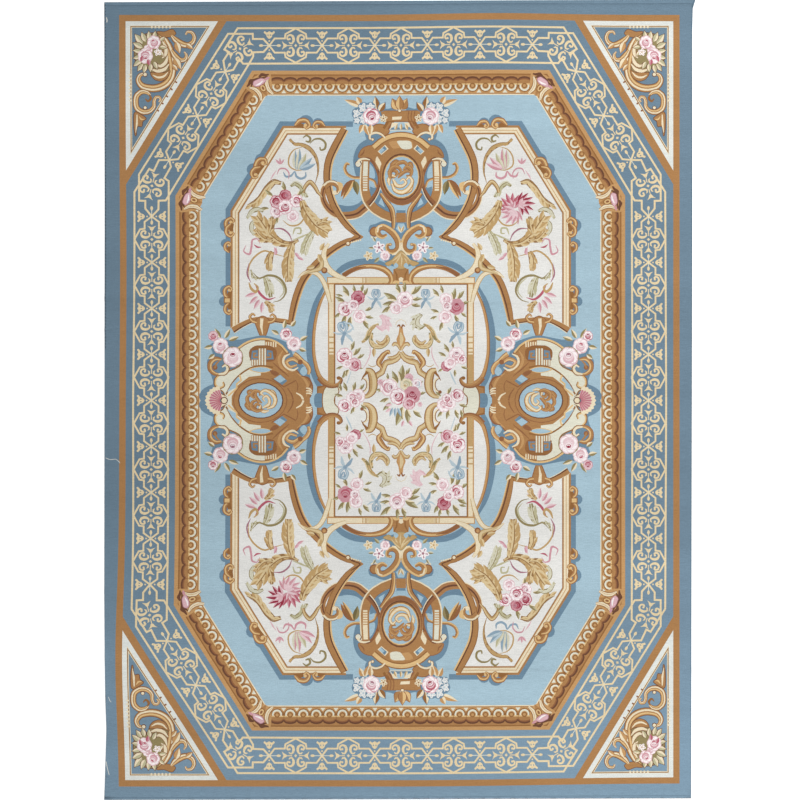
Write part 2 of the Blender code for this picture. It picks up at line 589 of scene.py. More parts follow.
def leaf(length, width, light, dark, bend=0, edge=None):
    """A pointed leaf in two tones, from its base along x, its tip moved sideways by the bend."""
    upper, lower, rib = [], [], []
    for i in range(7):
        t = i / 6
        half = width / 2 * math.sin(math.pi * t ** 0.8) ** 0.9 if 0 < i < 6 else 0
        middle = bend * t * t
        slope = math.atan2(2 * bend * t, length)
        rib.append((length * t, middle))
        upper.append((length * t - half * math.sin(slope), middle + half * math.cos(slope)))
        lower.append((length * t + half * math.sin(slope), middle - half * math.cos(slope)))
    if edge:
        grown = 1 + 1.6 / width
        rim = [(mix(a[0], b[0], grown), mix(a[1], b[1], grown)) for a, b in zip(rib, upper)][1:-1]
        rim_low = [(mix(a[0], b[0], grown), mix(a[1], b[1], grown)) for a, b in zip(rib, lower)][1:-1]
        chart.fill([rib[0]] + rim_low + [(length + 1, bend * 1.1)] + rim[::-1], edge)
    chart.fill(lower + upper[-2:0:-1], light)
    chart.fill(lower + [(mix(a[0], b[0], 0.1), mix(a[1], b[1], 0.1)) for a,
                        b in zip(rib, upper)][-2:0:-1], dark)


def leaves(places, width, light, dark, bend=0, edge=None):
    """Leaves of one width and tones: each is x, y, its turn in degrees and its length."""
    for x, y, turn, length in places:
        with chart.at(x, y, turn):
            leaf(length, width, light, dark, bend, edge)


def spray(tips, light, dark, width=0.42):
    """Leaves from one base: each tip is the leaf's length and its turn in degrees."""
    for length, turn in tips:
        with chart.at(0, 0, turn):
            leaf(length, length * width, light, dark)


GILT = ((-1, 1, BROWN_RED), (-0.74, 0.80, GOLD), (-0.1, 0.5, GOLD_LIGHT))


def scroll(route, widths, bands=GILT, eye=0):
    """A banded scroll along a route, with a round eye at its end."""
    chart.ribbon(route, widths, bands)
    if eye:
        x, y = route[-1]
        chart.disc(x, y, eye, bands[0][2])
        chart.disc(x, y, eye * 0.7, bands[-1][2])


def acanthus(route, lobe, tones, count=6, lean=34, one_side=0, grow=(0.5, 1, 0.9, 0.4)):
    """A feathered leaf: lobes along a curved rib, on both sides or on the side with this sign."""
    light, middle, dark = tones
    line = smooth(route, fine=0.02)
    reach = [0]
    for p, q in zip(line, line[1:]):
        reach.append(reach[-1] + math.dist(p, q))
    widths = tuple(lobe * profile(grow, share) for share in (0, 0.33, 0.66, 1))
    low, high = (-0.14, 0.86) if one_side > 0 else (-0.86, 0.14) if one_side else (-0.86, 0.86)
    chart.ribbon(route, widths, ((low, high, dark),))
    for i in range(count):
        share = (i + 0.3) / count
        k = max(j for j in range(len(line) - 1) if reach[j] <= share * reach[-1])
        (x0, y0), (x1, y1) = line[k], line[k + 1]
        turn = math.degrees(math.atan2(y1 - y0, x1 - x0))
        size = lobe * profile(grow, share)
        for side in (1, -1):
            if one_side and side != one_side:
                continue
            with chart.at(x0, y0, turn + side * lean):
                leaf(size * 1.08, size * 0.5, light, middle, -side * size * 0.2)
    chart.ribbon(route, tuple(0.26 * width for width in widths), ((-1, 1, dark), (-0.3, 1, light)))


def rose(radius, turn=0, tones=None):
    """A full rose: pale outer petals, two front petals and a cupped middle over a deep heart."""
    pale, rim, deep, heart = tones or (PETAL, PINK, ROSE, CRIMSON)
    with chart.at(0, 0, turn, radius / 10):
        for angle, away, size in ((20, 5.4, 4.4), (70, 5.6, 4.4), (118, 5.4, 4.4), (165, 5.6, 4.2),
                                  (215, 5.4, 4.6),
                                  (268, 5.6, 4.8), (322, 5.4, 4.6)):
            with chart.at(0, 0, angle):
                chart.disc(away, 0, size * 0.95, rim, size * 1.08)
                chart.disc(away - 0.7, 0, size * 0.86, pale, size * 0.98)
        chart.disc(0, -1.4, 5.6, deep, 5)
        chart.disc(0, 0.6, 4.9, rim)
        chart.disc(0.2, 0.9, 4.2, blend_colour(pale, rim, 0.35))
        chart.disc(0, 2, 2.6, heart, 1.9)
        chart.stroke([(-3.6, 1.6), (-2.4, -1.2), (0.6, -2.2), (3.2, -0.8), (3.9, 1.8)], (0.5, 0.9, 1.1,
                                                                                         0.9, 0.5), deep)
        chart.stroke([(-1.6, 2.2), (-0.4, 1), (1.2, 1.2), (1.8, 2.2)], (0.4, 0.8, 0.4), pale)
        chart.stroke([(-8.6, -3), (-5.4, -6.6), (-1, -6.2), (0.6, -4.6)], (0.5, 1.3, 0.5), deep)
        chart.stroke([(8.4, -3.4), (6, -6.4), (2.6, -7.4), (0.2, -6.4)], (0.5, 1.2, 0.5), rim)


def outlined(outline, edge, paint, line=0.9):
    """A smooth shape with a darker line around it."""
    points = smooth(outline, closed=True)
    if signed_area(points) < 0:
        points.reverse()
    rim = []
    for i, (x, y) in enumerate(points):
        (x0, y0), (x1, y1) = points[i - 1], points[(i + 1) % len(points)]
        angle = math.atan2(y1 - y0, x1 - x0) - math.pi / 2
        rim.append((x + line * math.cos(angle), y + line * math.sin(angle)))
    chart.fill(rim, edge)
    chart.fill(points, paint)


# The four large panels of the field

FRAME_ROUTE = [(-165.9, 72.4), (-165.9, 188.6), (-115.6, 270.2), (-55, 270.2)]
FRAME_WIDTH = 8.9
FRAME_BANDS = (
    (-1, 1, GOLD),
    (-0.64, 0.50, CREAM),
    (-0.16, -0.02, GOLD_MID),
)
SIDE_ROUTE = [(-56, 271.5), (-65, 255), (-71.6, 240), (-73.6, 226), (-72.6, 213), (-69, 200),
              (-63, 188), (-54.5, 176), (-47, 168.5), (-40.5, 163.4)]
LOWER_ROUTE = [(-40, 163), (-50, 160.2), (-60, 155.8), (-70, 149.4), (-80, 141), (-90, 130.6),
               (-98, 119.6), (-103.6, 106), (-107.4, 92), (-110, 78)]
FOOT_ROUTE = [(-108, 77.2), (-120, 79.6), (-132, 80.6), (-146, 80.8), (-158, 76), (-168, 70)]
VOLUTE = [(-35, 193.4), (-44, 186.4), (-54, 184.4), (-66, 186.6), (-75, 194.6), (-78.6, 205),
          (-76.4, 213.6), (-70, 217.4), (-64, 215), (-62, 210), (-64.6, 206.6)]
GILT_SIDE = ((-1, 1, GOLD_DEEP), (-0.8, 0.94, GOLD), (0.30, 0.62, BROWN), (0.62, 1, GOLD_LIGHT))


def draw_panel_frame():
    """An ivory panel with its moulded frame, in the top left quarter."""
    chart.stroke([(-172.4, 74), (-172.4, 190.6), (-119.4, 276.4), (-48, 276.4)], 5.6, SHADE, curved=False)
    for x, y, size in ((-95, 278, 7.6), (-83, 277, 5.6), (-139, 240, 7.2), (-148, 231, 6.2),
                       (-174, 175, 7), (-175.5, 157, 4.6), (-175.5, 110, 5.4), (-177, 99, 5)):
        chart.disc(x, y, size, SHADE)
    corners = [(-161.3, 73.4), (-161.3, 187), (-113.5, 265.8), (-58, 265.8)]
    chart.fill(corners + smooth(SIDE_ROUTE)[1:] + smooth(LOWER_ROUTE)[1:] + smooth(FOOT_ROUTE), IVORY)
    chart.ribbon(FRAME_ROUTE, FRAME_WIDTH, FRAME_BANDS, curved=False)
    chart.ribbon(FOOT_ROUTE, (5.6, 5.4, 5.2, 5.2, 5.8, 7),
                 ((-1, 1, CREAM), (-0.9, 0.5, GOLD), (0.36, 0.8, BROWN)))
    chart.stroke([(-33, 201.6), (-42, 193.8), (-53, 191.2), (-64, 193)], 6.4, SHADE)
    chart.ribbon(VOLUTE, (9.4, 9, 8.6, 8, 7.6, 7, 6.4, 5.8, 4.8, 3.6, 2.6),
                 ((-1, 1, GOLD), (-0.6, 0.7, GOLD_BROWN), (-0.3, 0.1, BROWN), (0.74, 1, CREAM)))
    chart.ribbon(SIDE_ROUTE, (8, 8.8, 8.8, 8.6, 8.2, 8, 7.8, 7.4, 7, 3.4), GILT_SIDE)
    chart.ribbon(LOWER_ROUTE, (2.6, 6.4, 7, 7.4, 7.6, 7.8, 8, 8, 7.6, 6),
                 ((-1, 1, GOLD_DEEP), (-0.84, 0.86, GOLD), (0.16, 0.5, BROWN), (0.72, 1, GOLD_LIGHT)))
    chart.blob([(-43, 166.4), (-37.6, 163.6), (-43, 160.4), (-50, 162)], GOLD)
    chart.stroke([(-50, 170), (-41, 163.6), (-50, 160)], (0.8, 1.3, 0.8), BROWN)
    for i in range(6):
        chart.disc(-40.5 - 2.2 * i, 160.4 - 0.55 * i, 0.9, CREAM)
    chart.disc(-53, 156.8, 2.6, GOLD_DEEP)
    chart.disc(-53, 157, 1.7, CREAM)
    end = [(-76.4, 213.6), (-72, 217.4), (-66, 217), (-62.4, 212.6), (-63.6, 208), (-67, 206.6)]
    chart.ribbon(end, (6.6, 6.2, 5.6, 4.8, 4, 3), ((-1, 1, BROWN), (-0.86, 0.2, GOLD), (0.2, 0.8, CREAM)))
    chart.blob([(-64, 218.6), (-58.4, 216.6), (-58.8, 211), (-61.6, 208.6), (-62.4, 214)], GOLD_LIGHT)
    chart.disc(-66.4, 208, 2.2, CREAM)
    draw_frame_ornaments()


def side_curl(size):
    """A small gilt curl that sits on a frame, its back outwards along y."""
    with chart.at(0, 0, 0, size * 1.25):
        chart.fill([(-8, -1), (-5, 2.4), (-1, 1), (-1, -2)], GOLD_DEEP)
        body = [(-7, 0), (-3.4, 3.4), (1.2, 3.2), (3, 0), (1, -1.8), (-0.8, -0.4)]
        scroll(body, (1.6, 3.4, 3.6, 3, 2.4, 1.8))
        chart.disc(0.3, 0.3, 1.2, GOLD_LIGHT)


def draw_frame_ornaments():
    """Curls, rings and a pendant leaf along a panel's outer frame."""
    for x, y, turn, size, flip in (
        (-96, 275, 0, 1.15, 1), (-84, 274.4, 0, 0.9, -1), (-138, 237, 58.6, 1.2, 1),
        (-145, 226, 58.6, 1, -1), (-169.6, 178, 90, 1.1, 1), (-169.8, 168, 90, 1, -1),
        (-172, 155, 90, 0.8, 1), (-171.4, 110, 90, 1, 1), (-171.4, 90, 90, 0.9, -1),
    ):
        with chart.at(x, y, turn):
            with chart.at(0, 0, 0 if flip > 0 else 180, size, flip):
                side_curl(1)
    chart.fill([(-177, 97), (-170, 97), (-170, 103), (-177, 103)], GOLD_DEEP)
    chart.fill([(-176, 98), (-171, 98), (-171, 102), (-176, 102)], GOLD_LIGHT)
    outlined([(-145, 80), (-138, 84), (-132, 80), (-133, 72), (-138, 62), (-143, 71)],
             BROWN_RED, GOLD)
    chart.stroke([(-139, 82), (-139.6, 74), (-138.2, 66)], (3.4, 2.6, 0.6), CREAM)
    scroll([(-133, 78), (-128, 79), (-125.6, 83), (-128.6, 86), (-131, 83.8)], (3.4, 3.6, 3, 2.4, 1.6))
    scroll([(-144, 78), (-149, 80), (-151, 84), (-148, 86.6), (-145.6, 84.6)], (3.4, 3.6, 3, 2.4, 1.6))


# The medallions at the ends of the field

def small_flower(radius, pale, deep):
    """A loose flower of five strokes around a dark middle."""
    for i in range(5):
        with chart.at(0, 0, 72 * i + 10):
            chart.fill([(0, 0), (radius * 0.5, -radius * 0.36), (radius * 0.9, -radius * 0.26),
                        (radius, radius * 0.1),
                        (radius * 0.5, radius * 0.36)], pale)
            chart.fill([(radius * 0.2, 0), (radius * 0.75, -radius * 0.14),
                        (radius * 0.75, radius * 0.1)], deep)
    chart.disc(0, 0, radius * 0.22, deep)


LOOPING = (
    ([(-12, 2), (-8, 6), (-4, 4), (-6, 0), (-9, -1)], (1.2, 2.6, 2.4, 1.8, 0.8)),
    ([(0, 13), (-5, 14), (-9, 11), (-11, 7)], (0.8, 2.6, 2.6, 0.8)),
    ([(12, 8), (9, 12), (5, 11)], (0.8, 2.6, 0.8)),
    ([(-11, -8), (-12, -3), (-9, 1), (-5, 0)], (0.8, 2.6, 2.4, 0.8)),
    ([(-2, -15), (4, -14), (9, -12), (12, -7)], (0.8, 2.4, 2.6, 0.8)),
    ([(-7, 6), (-3, 12), (3, 13), (7, 9), (5, 4)], (1.4, 2.8, 2.8, 2, 1.2)),
    ([(-10, -2), (-11, 4), (-7, 9), (-2, 8), (0, 4), (-3, 2)], (1.4, 3, 3.2, 2.6, 2, 1)),
    ([(2, 6), (6, 9), (10, 6), (9, 1), (5, 1)], (1.4, 2.4, 3, 2, 1)),
    ([(-9, -6), (-6, -12), (1, -14), (8, -10), (11, -3), (8, 0), (5, -3)], (1.2, 2.6, 3.2, 3, 2.6, 2,
                                                                            1.2)),
    ([(-8, -2), (-4, -8), (2, -8), (5, -5), (2, -2), (-1, -4)], (1.4, 2.8, 2.4, 2, 1.6, 1)),
    ([(-3, -1), (1, 3), (5, 5), (10, 4)], (1, 2.4, 2.2, 0.8)),
)


def foliage(size_x, size_y):
    """Interlaced gilt foliage, its lower half paler than its upper half."""
    for route, widths in LOOPING:
        placed = [(x * size_x, y * size_y) for x, y in route]
        low = sum(y for _, y in route) < 0
        if low:
            tones = ((-1, 1, GOLD_DEEP), (-0.7, 0.9, GOLD_LIGHT), (-0.3, 0.5, CREAM))
        else:
            tones = ((-1, 1, BROWN_RED), (-0.7, 0.9, GOLD), (0.1, 0.6, GOLD_MID))
        chart.ribbon(placed, tuple(w * 1.45 * (size_x + size_y) / 2 for w in widths), tones)


def draw_rose_bunch(tones, deep_side):
    """A full rose among blue-white leaves and gold ones, beside a medallion's crown."""
    leaves(((-38, 294, 160, 20), (-40, 296, 118, 9)), 6, CREAM, GOLD_MID)
    leaves(((-24, 291, 98, 13), (-22, 289, 55, 11)), 6.4, CREAM, GOLD_DEEP, 0, SHADE)
    leaves(((-37, 277, 240, 11), (-36, 276, 285, 12), (-30, 276, 262, 10)), 5.6, CREAM, GOLD_MID, 1)
    for x, y, radius in ((-43, 287, 5.6), (-39, 281, 4.8), (-37.6, 292.6, 5.2), (-30.6, 293.4, 4.6),
                         (-44, 280, 3.4)):
        chart.disc(x, y, radius * 1.14, SHADE)
        with chart.at(x, y, 40 * deep_side + x):
            small_flower(radius, IVORY, RIBBON)
    with chart.at(-29.5, 284, 200):
        rose(9.2, 0, tones)
    with chart.at(-17.6, 282, 10):
        small_flower(4.2, CREAM, GOLD_DEEP)


def draw_end_medallion():
    """The strapwork medallion at the top end of the field, with its crown, roses and pendant."""
    for side in (-1, 1):
        with chart.mirrored(side, 1):
            chart.blob([(-33, 262), (-42, 256), (-47.6, 243), (-47, 232), (-44, 223), (-30, 218),
                        (-20, 245), (-24, 266)], SHADE)
            chart.blob([(-34, 276), (-35.6, 264), (-32, 258), (-20, 258), (-12, 270)], SHADE)
            chart.blob([(-24, 296), (-14, 291.6), (-6, 293), (-5, 285), (-20, 284)], SHADE)
            chart.blob([(-22, 170), (-32.6, 169), (-31, 175), (-26, 176.4), (-20, 179), (-10, 178.6),
                        (-6, 170)], SHADE)
            chart.blob([(-14, 150), (-18, 142), (-8, 134), (0, 134), (0, 150)], SHADE)
            loop = [(-40.5, 240.6), (-36, 242), (-30, 240.4), (-24.6, 233), (-21.4, 223), (-22.6, 212),
                    (-28, 201.6), (-33, 196)]
            chart.fill([(-36, 241), (-24, 236), (-21.6, 222), (-24, 209), (-32, 203)], SHADE)
            chart.blob([(-32.6, 238), (-27, 231), (-26.6, 222), (-33, 224)], FIELD)
            chart.blob([(-33, 221), (-26.4, 217), (-27, 211), (-32, 209)], FIELD)
            hook = [(-24.4, 213), (-26.6, 219), (-33, 222), (-41, 222.4), (-49, 223.4), (-54.6, 227.4),
                    (-56.2, 233), (-53.8, 237), (-51.4, 236)]
            chart.ribbon(hook, (2.2, 2.4, 2.6, 2.8, 3, 3.2, 3.2, 3.2, 2.2),
                         ((-1, 1, GOLD_DEEP), (-0.7, 0.8, GOLD), (0.2, 0.9, GOLD_LIGHT)))
            with chart.at(-46, 220.6, 218):
                leaf(22, 8, GOLD_MID, BROWN_RED, 5)
            with chart.at(-48, 220, 244):
                leaf(22, 5, GOLD_LIGHT, GOLD_DEEP, -1)
            with chart.at(-46.6, 220, 288):
                leaf(15, 6.4, OLIVE, MOSS, -1.6)
            chart.fill([(-31, 214), (-20, 210), (-10, 198), (-9, 184), (-22, 187), (-31, 197)], SHADE)
            column = [(-35.4, 241), (-36.2, 226), (-36.2, 211), (-33.2, 200), (-27.6, 192.6),
                      (-19, 186.6),
                      (-8, 182)]
            chart.ribbon(column, (8.4, 8.8, 9, 9.4, 9.4, 9, 8.8),
                         ((-1, 1, GOLD_DEEP), (-0.86, 0.9, GOLD), (-1.1, -0.8, CREAM)))
            chart.stroke([(-35.2, 239), (-35.8, 226), (-35.8, 209.6)], (4.4, 4.8, 4.4),
                         CREAM_COOL if side < 0 else CREAM)
            for i in range(6):
                chart.fill([(-38, 211.4 + 2.4 * i), (-33.2, 211.4 + 2.4 * i), (-33.2, 212.4 + 2.4 * i),
                            (-38, 212.4 + 2.4 * i)], GOLD_MID)
            chart.ribbon(loop, (2.6, 3.2, 3.6, 3.8, 3.8, 4, 5.2, 6),
                         ((-1, 1, BROWN_RED), (0.1, 0.66, BROWN), (0.66, 1, CREAM)))
            outlined([(-42, 243), (-40, 250), (-33, 254.4), (-26, 254), (-20, 243), (-20, 232),
                      (-23, 231), (-27, 239), (-33, 243.4), (-38, 243)], BROWN_RED, GOLD, 0.7)
            chart.blob([(-24, 244), (-20.6, 240), (-20.4, 228), (-22.6, 233), (-25.6, 239)], CREAM)
            chart.stroke([(-41.6, 244), (-37.6, 247.6), (-36.6, 251)], (0.6, 1.6, 0.6), BROWN_RED)
            chart.disc(-42.6, 236.6, 3.4, BROWN)
            chart.disc(-42.8, 236.4, 2.8, CREAM_COOL)
            chart.stroke([(-44, 237), (-41.4, 240.4), (-36.6, 241.8), (-31, 240.6)], (2.2, 2.4, 1.8, 1),
                         CREAM)
    chart.fill([(-29, 254), (-20, 262), (-10, 267), (0, 268.4), (10, 267), (20, 262), (29, 254),
                (20, 238), (-20, 238)], GOLD)
    chart.disc(0.4, 223.4, 22.6, GOLD, 28.6)
    chart.disc(0.4, 222, 21.8, BROWN_RED, 26.4)
    chart.disc(0.4, 224.6, 20.8, GOLD, 25)
    chart.disc(0.4, 223.4, 19.4, BROWN, 23.6)
    chart.disc(0.4, 223.4, 18.4, GOLD_DEEP, 22.4)
    chart.disc(0.4, 223.6, 17.6, GOLD_LIGHT, 21.2)
    chart.disc(0.4, 223.4, 16.8, FIELD, 20.2)
    with chart.at(0, 223.6):
        foliage(1.02, 1.12)
    chart.blob([(-12, 257.6), (0, 260), (11, 258.6), (12, 252.6), (0, 253), (-8, 252)], GOLD_MID)
    chart.blob([(-4, 259), (2, 259.8), (10, 258.4), (11, 253), (0, 252.4), (-2, 255)], CREAM_COOL)
    arch = [(-27.6, 253), (-20, 259.4), (-10.6, 264), (0, 265.6), (10.6, 264), (20, 259.4), (27.6, 253)]
    chart.stroke(arch, 6.2, GOLD_DEEP)
    chart.stroke(arch, 4, GOLD_LIGHT)
    for side in (-1, 1):
        with chart.mirrored(side, 1):
            chart.fill([(-23.4, 249), (-16, 255.6), (-12.4, 251.6), (-19.6, 245.6)], CREAM)
            chart.fill([(-22.4, 249.2), (-16.4, 254.6), (-14, 251.4), (-19.8, 246.6)], SHADE)
            chart.fill([(-22.4, 249.2), (-18.8, 252.6), (-16.4, 250.6), (-20.4, 247)], FIELD)
            chart.fill([(-19.6, 203), (-22.6, 197), (-16, 193)], FIELD)
            chart.ribbon([(-20.6, 207), (-15.4, 199.6), (-9.6, 191.6), (-7.6, 182), (-7.8, 172)],
                         (3, 4.4, 5.4, 5, 3.4), ((-1, 1, BROWN), (-0.66, 0.9, GOLD),
                                                 (0.2, 0.7, GOLD_LIGHT)))
            dome = [(-31.6, 266), (-29.6, 272), (-23.6, 276), (-16.6, 275), (-12, 269), (-18, 264.6),
                    (-24, 267.6)]
            outlined(dome, BROWN_RED, GOLD, 0.8)
            scroll([(-15.6, 262.6), (-19.6, 266.4), (-26, 268), (-31, 265.6), (-31, 261.6), (-28.4, 261)],
                   (1.6, 2.4, 2.6, 2.8, 2.6, 2), ((-1, 1, GOLD_DEEP), (-0.6, 0.9, CREAM)), 1.8)
            for i in range(3):
                chart.stroke([(-9.6 - 2.6 * i, 289), (-7.6 - 2.6 * i, 281), (-12.6 - 2.4 * i, 272)],
                             (2.8, 3, 2.6), (BROWN_RED, GOLD, GOLD_DEEP)[i])
    chart.fill([(-20.4, 290), (20, 290), (17, 278.4), (-18, 278.4)], GOLD_DEEP)
    chart.fill([(-20, 289.4), (19.6, 289.4), (16.8, 279.4), (-17, 279.4)], GOLD)
    chart.fill([(-8.6, 283.6), (1, 284), (0, 281), (-9, 280.6)], CREAM)
    for x in (8, 11, 14):
        chart.stroke([(x, 289.6), (x - 1, 283), (x + 2.6, 274)], 0.9, BROWN_RED)
    chart.fill([(-9, 277.8), (8, 277.8), (11, 270), (-11.4, 270)], CREAM)
    chart.fill([(-2, 277.6), (3, 277.6), (7, 272), (-9, 272.6)], FIELD)
    chart.fill([(-11, 270.6), (10.6, 270.6), (8.6, 273.4), (-9.4, 272.8)], SHADE)
    for x, turn in ((-6, 70), (6.6, 110), (0, 90)):
        with chart.at(x, 270.6, turn):
            leaf(6.6, 3, CREAM, OCHRE_MID)
    chart.disc(-1.4, 289.6, 2.2, GOLD_DEEP)
    chart.disc(-1.4, 289.8, 1.5, CREAM)
    for x, turn, length in ((-3.4, 116, 12), (0.6, 64, 12), (-1.4, 90, 13.6)):
        with chart.at(x, 290.6, turn):
            leaf(length, 7.6, GOLD_LIGHT, GOLD, 0, BROWN_RED)
    chart.fill([(-4.8, 193.8), (4.8, 193.8), (4.4, 187.6), (-4.4, 187.6)], SHADE)
    chart.fill([(-4.8, 193.8), (4.8, 193.8), (4.4, 190.2), (-4.4, 190.2)], FIELD)
    chart.fill([(-5, 187.6), (5, 187.6), (5, 178), (-5, 178)], GOLD)
    chart.fill([(-5, 178), (5, 178), (6.4, 171), (0, 161), (-6.4, 171)], SHADE)
    chart.fill([(-3, 177), (3, 177), (5, 171.6), (0, 167), (-5, 171.6)], FIELD)
    with chart.at(0, 168, 90):
        spray(((7.6, 22), (7.6, -22)), CREAM, OCHRE_MID, 0.36)
    for side in (-1, 1):
        with chart.mirrored(side, 1):
            chart.blob([(-23, 173), (-28, 173.6), (-31.4, 170), (-31, 166), (-26.4, 163.6), (-22, 166)],
                       BROWN_RED)
            chart.blob([(-23, 172), (-27.6, 172.6), (-30.4, 169.4), (-29.6, 166.4), (-26, 164.8),
                        (-22, 167)], GOLD)
            chart.stroke([(-30, 164), (-27, 162), (-24, 163.6)], (1, 1.8, 1), CREAM)
            scroll([(-14, 165.6), (-18.6, 163.6), (-22.6, 166), (-23, 171), (-19, 173.6), (-12.6, 171),
                    (-6.6, 165.6), (-3, 158.4), (-3.4, 151.6), (-8, 148.4), (-13.2, 150.6),
                    (-13.6, 155.4), (-10.6, 156)],
                   (2.6, 4.6, 5.6, 6, 6.2, 6.8, 7, 6.6, 6, 5.6, 4.6, 3.6, 2.4),
                   ((-1, 1, BROWN_RED), (-0.76, 0.7, GOLD), (0.3, 0.92, GOLD_LIGHT)), 1.7)
            chart.stroke([(-0.9, 158), (-1, 151.6), (-4.4, 147), (-9, 145.6)], (1, 2.6, 2.8, 1), CREAM)
            chart.stroke([(-23.6, 168), (-22, 173.6), (-18.6, 174.6)], (1.2, 1.8, 1), CREAM)
            with chart.at(-22, 153, 20):
                small_flower(6.4, PETAL, MAUVE)
            with chart.at(-25.6, 158.6, 118):
                leaf(6, 2.8, SAGE_PALE, OLIVE)
            with chart.at(-27, 152, 175):
                leaf(6, 2.8, SAGE_PALE, OLIVE)
            with chart.at(-16, 145, 40):
                rose(5.4, 0, (PETAL, BLUSH, BLUSH_DEEP, PINK))
            with chart.at(-32.6, 144.6, 30):
                small_flower(5, CREAM, OCHRE_MID)
            with chart.at(-21.6, 143, 225):
                leaf(7.6, 3.4, SAGE, OLIVE)
    outlined([(0, 149.6), (-4.6, 145.6), (-8.6, 141), (-15.6, 136.4), (-12, 134.6), (-8.4, 137),
              (-6, 133.4),
              (0, 131.6), (6, 133.4), (8.4, 137), (12, 134.6), (17.6, 137), (8.6, 141), (4.6, 145.6)],
             OLIVE, OCHRE_MID, 0.5)
    for turn, length in ((-90, 15), (-118, 13.6), (-62, 13.6), (-136, 14), (-44, 14)):
        with chart.at(0, 148, turn):
            leaf(length, 3.2, OCHRE_LIGHT, OCHRE_MID)
    for x in (-5, 5):
        chart.blob([(x - 2.4, 134.6), (x, 137.6), (x + 2.4, 134.6), (x, 132.4)], FIELD)


# The medallions at the sides of the field

def draw_key(flip):
    """One turn of the key pattern on a side medallion."""
    with chart.at(-138.6, 0, 0 if flip > 0 else 180, 1, flip):
        chart.fill([(3.6, 40), (12.4, 40), (11, 50.6), (3.6, 51.6)], BROWN_RED)
        chart.fill([(4.4, 41), (11.4, 41), (10.2, 49.6), (4.4, 50.6)], SHADE)
        chart.stroke([(4, 43.2), (8.4, 43.2), (8.4, 47), (6, 47)], 1.7, GOLD, curved=False)


SIDE_BODY = [(-140, 61.4), (-150, 59.6), (-158, 55.4), (-163, 50.6), (-158.4, 45), (-160, 36),
             (-170, 30), (-178, 27.4), (-185.6, 22), (-185, 13), (-178, 9), (-175, 3)]
SIDE_BODY_RIGHT = [(-91, 3), (-88.8, 8), (-89, 17), (-93, 23), (-100, 24.4), (-104, 30),
                   (-111, 31), (-116, 36), (-116.6, 42), (-112.6, 46), (-119, 54), (-129, 59.6)]


